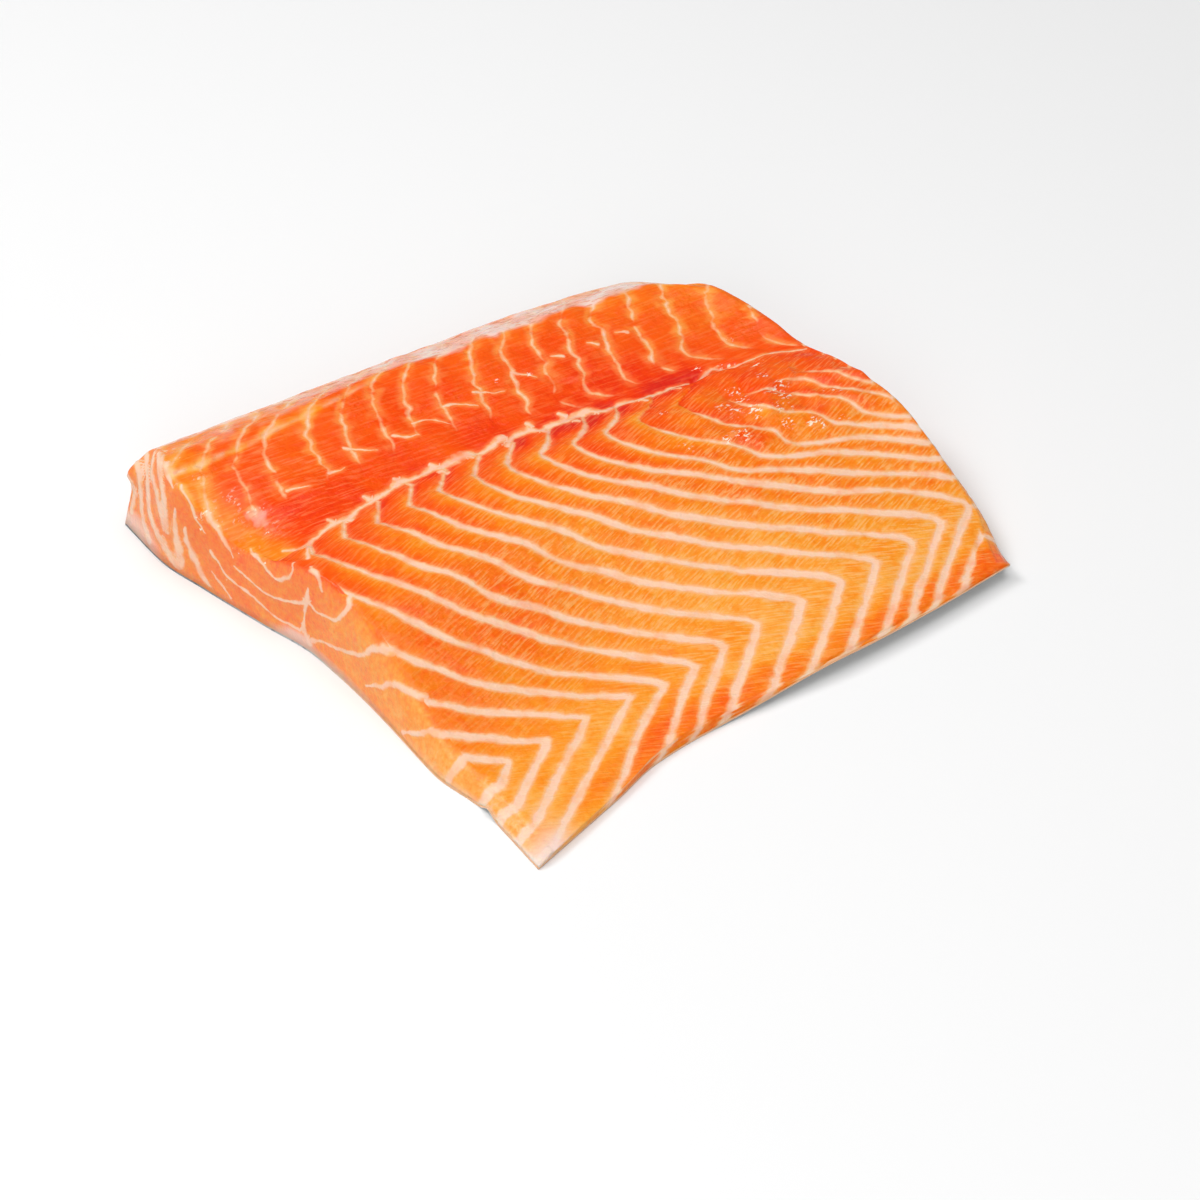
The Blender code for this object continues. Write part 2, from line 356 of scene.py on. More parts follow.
def closed_patch(name, along, across, rim_levels, first_level):
    """A grid at one level, its rim carried through the others, rings inwards and one last face."""
    bm = bmesh.new()
    bmesh.ops.create_grid(bm, x_segments=along, y_segments=across, size=0.5)
    bmesh.ops.translate(bm, verts=bm.verts, vec=(0.5, 0.5, first_level))
    loop = [edge for edge in bm.edges if edge.is_boundary]
    for level in rim_levels:
        verts, loop = extruded(bm, loop)
        for vert in verts:
            vert.co.z = level
    reached = 1.0
    for ring in RINGS:
        verts, loop = extruded(bm, loop)
        for vert in verts:
            vert.co.x = 0.5 + (vert.co.x - 0.5) * ring / reached
            vert.co.y = 0.5 + (vert.co.y - 0.5) * ring / reached
        reached = ring
    bmesh.ops.contextual_create(bm, geom=loop)
    bmesh.ops.triangulate(bm, faces=[face for face in bm.faces if len(face.verts) > 4])
    mesh = bpy.data.meshes.new(name)
    bm.to_mesh(mesh)
    bm.free()
    return mesh


def read_vertices(mesh, what="co"):
    values = np.empty(len(mesh.vertices) * 3)
    mesh.vertices.foreach_get(what, values)
    return values.reshape(-1, 3)


def write_vertices(mesh, places):
    mesh.vertices.foreach_set("co", places.ravel())
    mesh.update()


def store(mesh, name, values):
    """Keeps one number for each vertex, for the materials to read."""
    mesh.attributes.new(name, "FLOAT", "POINT").data.foreach_set("value", values)


flesh_levels = [1.0 - (step + 1) / FLESH_RIM for step in range(FLESH_RIM)]
flesh_mesh = closed_patch("flesh_fillet", FLESH_ALONG, FLESH_ACROSS, flesh_levels, 1.0)
patch = read_vertices(flesh_mesh)
U, V, W = patch[:, 0], patch[:, 1], np.clip(patch[:, 2], 0.0, 1.0)
places = fillet_point(U, V, W)
print("flesh:", len(flesh_mesh.vertices), "vertices")

# %% [markdown]
# ## Walls of fat between the muscle blocks
# A salmon's side is built of blocks of muscle, one for each bone of its back, with a pale wall
# of fat between each two. Seen from inside, a wall leaves the midline, runs down and tailwards
# over the belly, and turns back sharply near the belly's edge. The walls could be drawn one by
# one, but they repeat, so a rule places wall number k: one curve gives its shape across the
# fillet, and a second the distance to the next wall. Turned round, the rule counts the walls at
# any point, and the fraction left over says how far it is to the nearest wall.

# %% Places of the walls
BEND_V = 0.645
WALL_V = (0.10, 0.118, 0.143, 0.193, 0.243, 0.293, 0.343, 0.393, 0.45, 0.53, 0.60, BEND_V)
WALL_U = (0.405, 0.394, 0.370, 0.323, 0.278, 0.232, 0.190, 0.145, 0.106, 0.060, 0.039, 0.032)
STALK_V, STALK_U = (BEND_V, 0.668, 0.695), (0.032, 0.050, 0.072)
PITCH_V = (0.10, 0.143, 0.193, 0.243, 0.293, 0.343, 0.393, 0.443, 0.493, 0.55, 0.60, BEND_V, 0.695)
PITCH_U = (0.0765, 0.077, 0.0787, 0.0774, 0.0723, 0.0686, 0.0654, 0.0625, 0.059, 0.058, 0.0588,
           0.0613, 0.064)
APEX_K = (-5.0, -4.0, -3.0, -2.0, -1.0, 0.0, 1.0, 2.0, 6.0, 7.0, 8.0)
APEX_V = (0.172, 0.160, 0.148, 0.122, 0.106, 0.107, 0.122, 0.132, 0.132, 0.143, 0.150)
UNEVEN_K = (-5.0, -4.0, -3.0, -2.0, -1.0, 0.0, 1.0, 2.0, 4.0, 6.0, 8.0)
UNEVEN_U = (0.090, 0.069, 0.057, 0.036, 0.012, 0.0, -0.014, -0.016, -0.016, -0.009, 0.0)
ARM_K = (-5.0, -4.0, -3.0, -2.0, -1.0, 0.0, 1.0, 4.0, 8.0)
ARM_SLOPE = (2.30, 2.24, 2.20, 2.50, 1.84, 1.20, 0.96, 0.93, 0.90)
APEX_ROUND = 0.006
USUAL_APEX_V = 0.107
HEADWARD_SHIFT_V, TAILWARD_SHIFT_V = 0.34, 0.46
CORNER_K = (2.0, 3.0, 4.0, 6.0, 7.0, 8.0, 9.0, 10.0)
CORNER_U = (0.0, 0.011, 0.016, 0.013, -0.002, -0.020, -0.032, -0.020)
BACK_WALL_V = (0.66, 0.69, 0.705, 0.72, 0.75, 0.78, 0.81, 0.86, 0.91, 0.95, 1.0)
BACK_WALL_U = (0.115, 0.080, 0.052, 0.033, 0.024, 0.040, 0.052, 0.074, 0.102, 0.135, 0.180)
BACK_PITCH_U = 0.0627
BACK_UNEVEN_K = (0.0, 1.0, 2.0, 3.0, 4.0, 6.0, 7.0, 8.0, 9.0, 10.0, 12.0)
BACK_UNEVEN_U = (0.010, 0.0, 0.014, 0.011, 0.008, -0.003, 0.002, 0.008, 0.0, -0.006, -0.004)
WALL_NUMBERS = np.arange(-8.0, 20.0)


def upper_arm_u(k, v):
    """Wall k between the midline and its apex near the belly."""
    apex = curve(k, APEX_K, APEX_V)
    lift = np.maximum(apex - USUAL_APEX_V, 0.0) * (k > 0.0)
    drawn_out = 0.03 * eased((k - 4.0) / 5.0) * hump((v - 0.62) / 0.05)
    across = v - lift * hump((v - apex) / 0.06) + drawn_out
    shape = np.where(across < BEND_V, curve(across, WALL_V, WALL_U), curve(across, STALK_V, STALK_U))
    fade = np.where(k < 0.0, eased((HEADWARD_SHIFT_V - v) / 0.14), eased((TAILWARD_SHIFT_V - v) / 0.08))
    spread = 0.055 * eased((k - 9.0) / 4.0) * eased((v - 0.42) / 0.06)
    spread = spread + 0.018 * eased((k - 8.5) / 2.0) * eased((0.41 - v) / 0.04)
    rounder = 0.014 * eased((k - 5.0) / 3.0) * hump((v - 0.655) / 0.03)
    dent = 0.024 * eased(k - 8.0) * eased(12.0 - k) * hump((v - 0.42) / 0.035)
    dent = dent + 0.036 * eased(k - 12.0) * eased((v - 0.55) / 0.03)
    corner = curve(k, CORNER_K, CORNER_U) * eased((0.24 - v) / 0.08)
    uneven = fade * curve(k, UNEVEN_K, UNEVEN_U) + corner
    return shape + k * curve(v, PITCH_V, PITCH_U) + uneven + spread + rounder - dent


def belly_wall_u(k, v):
    """Where wall k stands along the fish, on the belly's side of the midline."""
    apex = curve(k, APEX_K, APEX_V)
    past = np.maximum(apex - v, 0.0)
    back = curve(k, ARM_K, ARM_SLOPE) * (np.sqrt(past ** 2 + APEX_ROUND ** 2) - APEX_ROUND)
    return upper_arm_u(k, np.maximum(v, apex)) - back


def back_wall_u(k, v):
    shape = curve(v, BACK_WALL_V, BACK_WALL_U)
    return shape + curve(k, BACK_UNEVEN_K, BACK_UNEVEN_U) + k * BACK_PITCH_U


def between(steps, values):
    """For each row of rising steps: the step below the row's value, and the two steps' places."""
    below = np.clip((steps <= values[:, None]).sum(axis=1) - 1, 0, steps.shape[1] - 2)
    row = np.arange(len(values))
    return below, steps[row, below], steps[row, below + 1]


def count_between(rule, u, v):
    """Counts the walls at a point: a rule turned round, by looking between which walls it lies."""
    below, low, high = between(rule(WALL_NUMBERS[None, :], v[:, None]), u)
    return WALL_NUMBERS[below] + (u - low) / (high - low)


print("wall 3 at v = 0.3 has u =", belly_wall_u(np.array([3.0]), np.array([0.3])).round(3)[0])

# %% Walls on the cut faces
ARC_REACH = (0.0, 0.085, 0.175, 0.255, 0.32, 0.40, 0.80)
ARC_DEPTH = (0.40, 0.66, 0.93, 1.08, 1.45, 2.50, 6.00)
ARC_LEVELS = np.linspace(0.0, 0.8, 81)
TAIL_CENTRE_V = 0.62
HEAD_ARCS_LOW_V, HEAD_ARCS_HIGH_V = 0.24, 0.58
PATCH_METRES = 0.22
SIDE_METRES = 0.03


def arc_top(across, depth):
    """Follows a nested arc from a point of a cut face up to the rim, and says where it ends."""
    fallen = np.clip(depth[:, None] / curve(ARC_LEVELS, ARC_REACH, ARC_DEPTH)[None, :], 0.0, 1.0)
    below, low, high = between(ARC_LEVELS[None, :] * np.sqrt(1.0 - fallen ** 2.5), across)
    share = np.clip((across - low) / np.maximum(high - low, 1e-6), 0.0, 1.0)
    return ARC_LEVELS[below] + share * (ARC_LEVELS[1] - ARC_LEVELS[0])


HEAD, TAIL, BELLY, BACK, TOP = range(5)


def straight_above(u, v, w):
    """The u of the rim straight above points of the belly's or the back's side face."""
    rim_u = np.linspace(-0.05, 1.05, 221)
    rim = fillet_point(rim_u, np.full(len(rim_u), v[0]), np.ones(len(rim_u)))
    return np.interp(fillet_point(u, v, w)[:, 0], rim[:, 0], rim_u)


def wall_count(face, u, v, w):
    """Counts the walls at points of one face of the flesh."""
    spot = np.stack([u * PATCH_METRES, v * PATCH_METRES, w * SIDE_METRES], axis=1)
    on_back = eased((v - 0.70) / 0.03)
    u = u + wander(spot, ((0.0035, 0.016), (0.0022, 0.007)), 5)
    u = u + on_back * wander(spot, ((0.0035, 0.011), (0.0065, 0.0036)), 7)
    u = u + torn_here(u, v) * wander(spot, ((0.007, 0.015), (0.005, 0.005)), 9)
    if face == TAIL:
        side = np.sign(v - TAIL_CENTRE_V)
        v = TAIL_CENTRE_V + side * arc_top(np.abs(v - TAIL_CENTRE_V), 1.0 - w)
    if face == HEAD:
        arc = HEAD_ARCS_HIGH_V - arc_top(np.clip(HEAD_ARCS_HIGH_V - v, 0.0, 1.0), 1.0 - w)
        v = np.where((v > HEAD_ARCS_LOW_V) & (v < HEAD_ARCS_HIGH_V), arc, v)
    if face in (BELLY, BACK):
        u = straight_above(u, v, w) + np.where(face == BELLY, 0.025, 0.05) * (1.0 - w)
    back, belly = (count_between(rule, u, v) for rule in (back_wall_u, belly_wall_u))
    return np.where(v > midline_v(u), back, belly)


def distance_to_wall(face, u, v, w):
    """Metres to the nearest wall, from the fraction of the count and how fast it grows."""
    step = 0.002
    ways = {TOP: "uv", HEAD: "vw", TAIL: "vw", BELLY: "uw", BACK: "uw"}[face]
    here = {"u": u, "v": v, "w": w}
    count = wall_count(face, **here)
    place = fillet_point(**here)
    slopes = []
    for name in ways:
        moved = dict(here)
        moved[name] = here[name] - step
        slopes.append(((count - wall_count(face, **moved)) / step,
                       (place - fillet_point(**moved)) / step))
    (count_a, place_a), (count_b, place_b) = slopes
    aa = (place_a * place_a).sum(axis=1)
    ab = (place_a * place_b).sum(axis=1)
    bb = (place_b * place_b).sum(axis=1)
    area = np.maximum(aa * bb - ab * ab, 1e-12)
    growth = (bb * count_a ** 2 - 2.0 * ab * count_a * count_b + aa * count_b ** 2) / area
    from_wall = np.abs(count - np.round(count))
    return from_wall / np.sqrt(np.maximum(growth, 1.0)), count


print("tail end's arcs are nested round v =", TAIL_CENTRE_V)

# %% Counting the walls on every face
MM = 0.001
face_of = np.full(len(U), TOP)
on_side = patch[:, 2] < 1.0
for face, here in ((BELLY, V <= 0.0), (BACK, V >= 1.0), (TAIL, U >= 1.0), (HEAD, U <= 0.0)):
    face_of[on_side & here] = face
ON_TOP, ON_HEAD, ON_TAIL = (face_of == face for face in (TOP, HEAD, TAIL))
wall_gap = np.zeros(len(U))
wall_number = np.zeros(len(U))
for face in (HEAD, TAIL, BELLY, BACK, TOP):
    mine = face_of == face
    wall_gap[mine], wall_number[mine] = distance_to_wall(face, U[mine], V[mine], W[mine])
block_share = wall_number - np.floor(wall_number)
share_to_wall = np.abs(wall_number - np.round(wall_number))
wall_pitch = wall_gap / np.maximum(share_to_wall, 1e-4) / MM
print("walls on the top:", int(wall_number[ON_TOP].max()))

# %% Thickness of the walls
BACK_HALF_WIDTH = 0.42


def wall_half_width():
    """Half the thickness of the fat at each vertex, in millimetres: thick at the belly."""
    belly = curve(V, (0.0, 0.12, 0.20, 0.32, 0.45, 0.55, 0.62, 0.645, 0.67, 0.69),
                  (1.60, 1.75, 1.60, 1.55, 1.50, 1.28, 0.98, 1.02, 0.60, 0.70))
    belly = belly * (1.0 - 0.40 * eased((U - 0.50) / 0.20) * eased((V - 0.36) / 0.10))
    belly = belly * (1.0 - eased((U - 0.965) / 0.02) * eased((0.07 - V) / 0.03))
    belly = belly * (1.0 - 0.35 * torn_here(U, V))
    belly = belly * (1.0 - eased(wall_number - 9.3) * eased((V - 0.555) / 0.03))
    fade_from = curve(U, (0.0, 0.45, 0.60, 0.8, 1.0), (0.77, 0.755, 0.695, 0.69, 0.69))
    fade = eased((V - fade_from) / 0.045)
    back = BACK_HALF_WIDTH * fade * (1.0 + wander(places, ((0.6, 0.009), (0.8, 0.0035)), 13))
    half = np.where(V > midline_v(U), back, belly)
    tail = curve(V, (0.0, 0.35, 0.58, 0.62, 0.66, 0.75, 1.0), (1.1, 1.0, 0.7, 0.3, 0.5, 0.6, 0.6))
    half = np.where(ON_TAIL, tail, half)
    half = np.where(face_of == BACK, 0.8 * half, half)
    half = np.where(ON_HEAD, half * eased((HEAD_ARCS_LOW_V - V) / 0.01), half)
    uneven = 1.0 + wander(places, ((0.26, 0.011), (0.16, 0.004)), 11)
    from_midline = np.abs(V - midline_v(U)) * PATCH_METRES
    return np.maximum(half * uneven, 0.0) * eased(from_midline / 0.0012)


wall_half = wall_half_width()
print("thickest wall:", round(2.0 * float(wall_half.max()), 2), "mm")

# %% [markdown]
# ## Fat that is drawn line by line
# Some pale lines follow no simple rule: the midline with its white knots, the ends of the fine
# bones that were left in the back, and the nested arcs of the head end's cut face. Each is a
# short list of stations on the patch with a width, rounded into a smooth line. For each vertex
# the script keeps the sideways distance to the nearest line, with a sign, because a signed
# distance stays exact between two vertices, so that even a hair-thin line comes out crisp.

# %% Lines through stations
def rounded(stations, steps=5):
    """A smooth line through stations, given as patch coordinates."""
    knots = np.asarray(stations, dtype=float)
    before = 2.0 * knots[0] - knots[1]
    after = 2.0 * knots[-1] - knots[-2]
    knots = np.vstack([before, knots, after])
    t = (np.arange(steps) / steps)[:, None]
    line = []
    for a, b, c, d in zip(knots, knots[1:], knots[2:], knots[3:]):
        line.append(b + 0.5 * t * (c - a + t * (2.0 * a - 5.0 * b + 4.0 * c - d
                                                + t * (3.0 * (b - c) + d - a))))
    line.append(knots[-2][None, :])
    return np.vstack(line)


def top_line(*stations):
    """A line on the upper face, from (u, v) stations."""
    return [(u, v, 1.0) for u, v in stations]


def head_line(*stations):
    """A line on the head end's cut face, from (v, depth below the rim) stations."""
    return [(0.0, v, 1.0 - depth) for v, depth in stations]


print("a line of 3 stations becomes", len(rounded([(0, 0, 1), (1, 0, 1), (1, 1, 1)])), "points")

# %% The lines of this fillet
FAT_LINES = []


def draw(line, *widths):
    """Adds a line of fat, whose width in millimetres changes from station to station."""
    FAT_LINES.append((rounded(line), widths))


MIDLINE_LEFT = ((0.026, 0.692), (0.048, 0.679), (0.079, 0.686), (0.114, 0.693), (0.142, 0.691),
                (0.168, 0.700), (0.196, 0.704), (0.229, 0.706), (0.260, 0.714), (0.277, 0.706),
                (0.312, 0.711), (0.338, 0.706), (0.377, 0.710), (0.404, 0.699), (0.447, 0.713))
MIDLINE_RIGHT = ((0.447, 0.692), (0.466, 0.706), (0.501, 0.709), (0.511, 0.696), (0.530, 0.699),
                 (0.568, 0.695), (0.603, 0.697), (0.623, 0.681), (0.659, 0.683), (0.690, 0.671),
                 (0.742, 0.675), (0.780, 0.674))
draw(top_line(*MIDLINE_LEFT), 1.3, 2.8, 1.7, 2.9, 3.4, 1.8, 2.4, 2.5, 3.3, 2.0, 3.1, 3.0, 4.2, 2.5, 3.6)
draw(top_line(*MIDLINE_RIGHT), 3.4, 2.7, 3.0, 2.2, 2.9, 3.4, 3.6, 2.6, 2.3, 2.1, 1.5, 0.8)
draw(top_line((0.835, 0.687), (0.857, 0.676), (0.886, 0.671), (0.950, 0.675), (0.995, 0.685)),
     0.9, 1.4, 0.9, 1.2, 0.9)
draw(top_line((0.795, 0.668), (0.822, 0.682), (0.845, 0.689)), 0.8, 1.6, 0.7)

KNOTS = ((0.120, 0.703, 2.0), (0.136, 0.688, 2.4), (0.196, 0.714, 2.4), (0.258, 0.720, 2.0),
         (0.325, 0.717, 2.6), (0.323, 0.690, 2.6), (0.380, 0.704, 2.8), (0.508, 0.720, 2.2),
         (0.512, 0.689, 2.4), (0.565, 0.714, 2.6), (0.568, 0.680, 2.4), (0.612, 0.688, 2.6),
         (0.684, 0.662, 1.6), (0.750, 0.662, 1.6))
for u, v, width in KNOTS:
    dot = top_line((u + 0.0007, v - 0.0015), (u, v), (u - 0.0007, v + 0.0015))
    draw(dot, width, 1.2 * width, 0.9 * width)

BONE_ENDS = (((0.118, 0.792), (0.133, 0.787), (0.147, 0.783)),
             ((0.194, 0.793), (0.203, 0.788), (0.212, 0.788)),
             ((0.248, 0.823), (0.261, 0.811), (0.282, 0.794)),
             ((0.326, 0.807), (0.340, 0.793), (0.354, 0.790)),
             ((0.370, 0.818), (0.393, 0.812), (0.412, 0.789)),
             ((0.436, 0.827), (0.453, 0.821), (0.474, 0.803)),
             ((0.496, 0.834), (0.512, 0.824), (0.530, 0.812)),
             ((0.575, 0.842), (0.588, 0.828), (0.596, 0.814)))
for stations in BONE_ENDS:
    draw(top_line(*stations), 1.6, 0.7, 0.3)
for u, v in ((0.658, 0.841), (0.728, 0.840), (0.786, 0.845)):
    draw(top_line((u - 0.006, v + 0.004), (u, v), (u + 0.004, v - 0.003)), 0.4, 0.9, 1.2)
draw(top_line((0.020, 0.640), (0.052, 0.676), (0.062, 0.684)), 1.6, 1.3, 1.2)
print("lines on the upper face:", len(FAT_LINES))

# %% Lines of the head end's cut face
HEAD_FACE_LINES = {
    "wall -1": (
        ((0.523, 0.0), (0.508, 0.17), (0.51, 0.45), (0.524, 0.61), (0.547, 0.68), (0.569, 0.7),
         (0.586, 0.65)),
        (3.0, 2.4, 1.8, 1.6, 1.3, 1.2, 1.6)),
    "wall -2": (
        ((0.412, 0.0), (0.427, 0.28), (0.437, 0.45), (0.452, 0.67), (0.478, 0.79), (0.508, 0.86),
         (0.578, 0.955)),
        (3.0, 2.8, 2.4, 2.0, 1.4, 1.2, 1.2)),
    "wall -3": (
        ((0.33, 0.0), (0.35, 0.28), (0.378, 0.55), (0.4, 0.78), (0.435, 0.92)),
        (2.8, 2.6, 2.2, 1.6, 1.0)),
    "wall -4": (
        ((0.262, 0.0), (0.28, 0.4), (0.3, 0.78), (0.33, 0.96)),
        (2.8, 2.4, 2.0, 1.2)),
    "septum": (
        ((0.59, 0.52), (0.588, 0.64), (0.59, 0.72), (0.591, 0.82), (0.588, 0.93), (0.572, 0.98)),
        (0.9, 3.2, 1.8, 1.1, 2.2, 3.2)),
    "first stalk": (
        ((0.612, 0.0), (0.595, 0.09), (0.568, 0.36)),
        (2.0, 2.0, 1.2)),
    "inner arc": (
        ((0.74, 0.0), (0.715, 0.15), (0.684, 0.375), (0.656, 0.54), (0.637, 0.51), (0.627, 0.355),
         (0.64, 0.06)),
        (1.0, 1.3, 1.5, 1.6, 2.2, 1.1, 0.8)),
    "middle arc": (
        ((0.735, 0.62), (0.722, 0.66), (0.696, 0.73), (0.671, 0.775), (0.636, 0.78), (0.61, 0.75),
         (0.59, 0.67)),
        (0.8, 1.1, 1.1, 1.1, 1.3, 1.5, 2.0)),
    "outer arc": (
        ((0.784, 0.64), (0.768, 0.7), (0.751, 0.78), (0.728, 0.825), (0.7, 0.87), (0.648, 0.935),
         (0.598, 0.945)),
        (2.0, 1.2, 1.0, 1.1, 1.2, 1.1, 1.2)),
    "back wall": (
        ((0.826, 0.0), (0.803, 0.065), (0.775, 0.23), (0.762, 0.33), (0.748, 0.46)),
        (2.8, 2.4, 1.8, 1.6, 0.8)),
    "thin arc": (
        ((0.885, 0.0), (0.853, 0.12), (0.829, 0.3), (0.807, 0.41)),
        (0.8, 1.2, 1.0, 0.6)),
    "wedge": (
        ((0.836, 0.62), (0.829, 0.76), (0.815, 0.86), (0.794, 0.945), (0.77, 0.99)),
        (1.0, 2.4, 3.6, 2.2, 1.0)),
    "foot line": (
        ((0.775, 0.86), (0.758, 0.91), (0.735, 0.97)),
        (0.8, 1.4, 1.0)),
    "inner tip": (
        ((0.98, 0.2), (0.95, 0.42), (0.919, 0.56), (0.9, 0.67), (0.876, 0.81), (0.888, 0.6),
         (0.905, 0.42), (0.937, 0.25), (0.968, 0.12)),
        (1.6, 2.6, 3.0, 3.2, 2.6, 3.0, 2.8, 2.2, 1.5)),
    "outer tip": (
        ((0.992, 0.36), (0.963, 0.51), (0.945, 0.63), (0.934, 0.79), (0.911, 0.875), (0.88, 0.93),
         (0.842, 0.975), (0.848, 0.86), (0.857, 0.7), (0.864, 0.53)),
        (1.8, 2.6, 3.0, 3.2, 3.4, 4.0, 3.2, 3.8, 2.2, 0.9)),
    "last wall": (
        ((0.995, 0.48), (0.976, 0.56), (0.968, 0.7), (0.961, 0.84), (0.943, 0.935), (0.92, 0.985)),
        (2.2, 2.8, 3.0, 3.0, 3.0, 2.6)),
    "corner wall": (
        ((0.997, 0.66), (0.989, 0.8), (0.986, 0.93)),
        (2.4, 3.0, 2.6)),
    "crest wedge": (
        ((0.93, 0.03), (0.905, 0.12), (0.888, 0.21)),
        (3.2, 2.6, 1.0)),
    "crest side": (
        ((0.96, 0.06), (0.93, 0.2), (0.91, 0.33), (0.898, 0.5)),
        (1.2, 1.4, 1.2, 0.6)),
}
FACE_WIDTH_V = (0.45, 0.50, 0.828, 0.834, 0.92)
FACE_WIDTH_FACTOR = (0.95, 0.85, 0.80, 1.15, 1.10)
for line, widths in HEAD_FACE_LINES.values():
    factor = curve(line[0][0], FACE_WIDTH_V, FACE_WIDTH_FACTOR)
    draw(head_line(*line), *(factor * np.array(widths)))
print("lines in all:", len(FAT_LINES))

# %% Distance to the drawn lines
FAR = 6.0


def line_distances(spots, normals):
    """For each vertex: sideways distance over half the line's width, and mm beyond its edge."""
    unsteady = [0.50 * soft_noise(spots, 5.0, seed) + 0.35 * soft_noise(spots, 2.2, seed + 3)
                for seed in (51, 52, 53)]
    spots = spots + np.stack(unsteady, axis=1)
    side = np.full(len(spots), FAR)
    gap = np.full(len(spots), FAR)
    for line, widths in FAT_LINES:
        points = fillet_point(line[:, 0], line[:, 1], line[:, 2]) / MM
        along = np.linspace(0.0, 1.0, len(points))
        halves = np.interp(along, np.linspace(0.0, 1.0, len(widths)), widths) / 2.0
        reach = FAR + max(widths)
        low, high = points.min(axis=0) - reach, points.max(axis=0) + reach
        near = np.flatnonzero(np.all((spots > low) & (spots < high), axis=1))
        start = points[:-1]
        run = points[1:] - start
        offset = spots[near][:, None, :] - start[None, :, :]
        share = np.clip((offset * run).sum(axis=2) / (run * run).sum(axis=1), 0.0, 1.0)
        away = offset - share[:, :, None] * run
        distance = np.linalg.norm(away, axis=2)
        best = distance.argmin(axis=1)
        row = np.arange(len(near))
        half = halves[best] + share[row, best] * (halves[best + 1] - halves[best])
        here = distance[row, best] - half
        facing = np.cross(normals[near], run[best] / np.linalg.norm(run[best], axis=1)[:, None])
        sideways = (offset[row, best] * facing).sum(axis=1)
        closer = here < gap[near]
        gap[near[closer]] = here[closer]
        side[near[closer]] = (sideways / half)[closer]
    return side, gap


write_vertices(flesh_mesh, places)
smooth_normals = read_vertices(flesh_mesh, "normal")
line_side, line_gap = line_distances(places / MM, smooth_normals)
print("vertices on a drawn line:", int((line_gap < 0.0).sum()))

# %% [markdown]
# ## Relief
# A cut across muscle is never flat. Each block stands a little proud between its walls, the
# blocks beside the midline overlap like tiles, and the torn patch near the tail end has loose
# ridges. A bump map could fake all that, but it would leave the outline and the export smooth, so
# every vertex is moved along its normal instead. The fat stands slightly higher than the muscle.

# %% Heights in millimetres
BELLY_BLOCK, BACK_BLOCK = 0.38, 0.22
TILE_STEP = 0.75
MIDLINE_GROOVE = 0.65
FAT_PROUD = 0.12
TEAR_HEIGHT, FLAP_HEIGHT = 1.4, 1.5
SEAM_LIP, SEAM_GROOVE = 0.45, 0.38
RIM_LUMPS = 0.40


def seam_v(u):
    """A seam along the crest, where the back's outermost strip of muscle lies against the rest."""
    return curve(u, (0.0, 0.10, 0.19, 0.28, 0.40, 1.0), (0.912, 0.910, 0.920, 0.930, 0.944, 0.944))


def blocks_and_groove():
    """The belly's and the back's blocks, the tiles beside the midline and the groove along it."""
    belly_side = V < midline_v(U)
    beside_midline = hump((V - BEND_V) / 0.055) * belly_side
    before_torn = eased((0.80 - U) / 0.08)
    height = np.where(belly_side, BELLY_BLOCK, BACK_BLOCK) * np.sin(math.pi * block_share) ** 0.6
    height = height + TILE_STEP * beside_midline * (block_share - 0.4) * before_torn
    height = height - MIDLINE_GROOVE * hump((V - midline_v(U)) / 0.011) * (U < 0.80)
    return height + FAT_PROUD * eased((0.5 - line_gap) / 1.0) * (V < 0.9)


def torn_ridges():
    """Loose ridges in the torn patch, and the flap beside the fold."""
    ripples = soft_noise(places * (0.35, 1.0, 1.0), 0.0032, 22)
    tears = 1.0 - np.abs(soft_noise(places * (0.5, 1.0, 1.0), 0.0075, 23))
    beads = 0.5 * np.square(soft_noise(places, 0.0032, 29))
    torn = torn_here(U, V) * (TEAR_HEIGHT * tears ** 3 + 0.4 * ripples - 0.6 + beads)
    flap = midline_v(U) - 0.010 - V
    torn = torn + FLAP_HEIGHT * hump((U - 0.825) / 0.045) * eased(flap / 0.005) * hump(flap / 0.035)
    return torn + 0.12 * ripples


def flesh_relief():
    back = eased((V - 0.72) / 0.05)
    seam = V - seam_v(U)
    rim = hump((1.0 - W) / 0.12) * np.maximum(hump(U / 0.02), hump((1.0 - U) / 0.02))
    height = blocks_and_groove() + torn_ridges() + 0.22 * soft_noise(places, 0.010, 21)
    height = height + back * wander(places, ((0.35, 0.0065), (0.12, 0.003)), 24)
    lip_and_groove = SEAM_LIP * hump((seam - 0.012) / 0.012) - SEAM_GROOVE * hump(seam / 0.007)
    height = height + lip_and_groove * eased((0.5 - U) / 0.2)
    height = height + RIM_LUMPS * rim * soft_noise(places, 0.0055, 28)
    side = wander(places, ((0.30, 0.007), (0.10, 0.0025)), 26) - 0.15
    side = side + 0.25 * eased((0.4 - line_gap) / 0.8)
    over_rim = eased((W - 0.75) / 0.25)
    return (over_rim * height + (1.0 - over_rim) * side) * eased(W / 0.12)


relief = flesh_relief()
write_vertices(flesh_mesh, places + relief[:, None] * MM * smooth_normals)
flesh_mesh.shade_smooth()
print("relief from", round(float(relief.min()), 2), "to", round(float(relief.max()), 2), "mm")
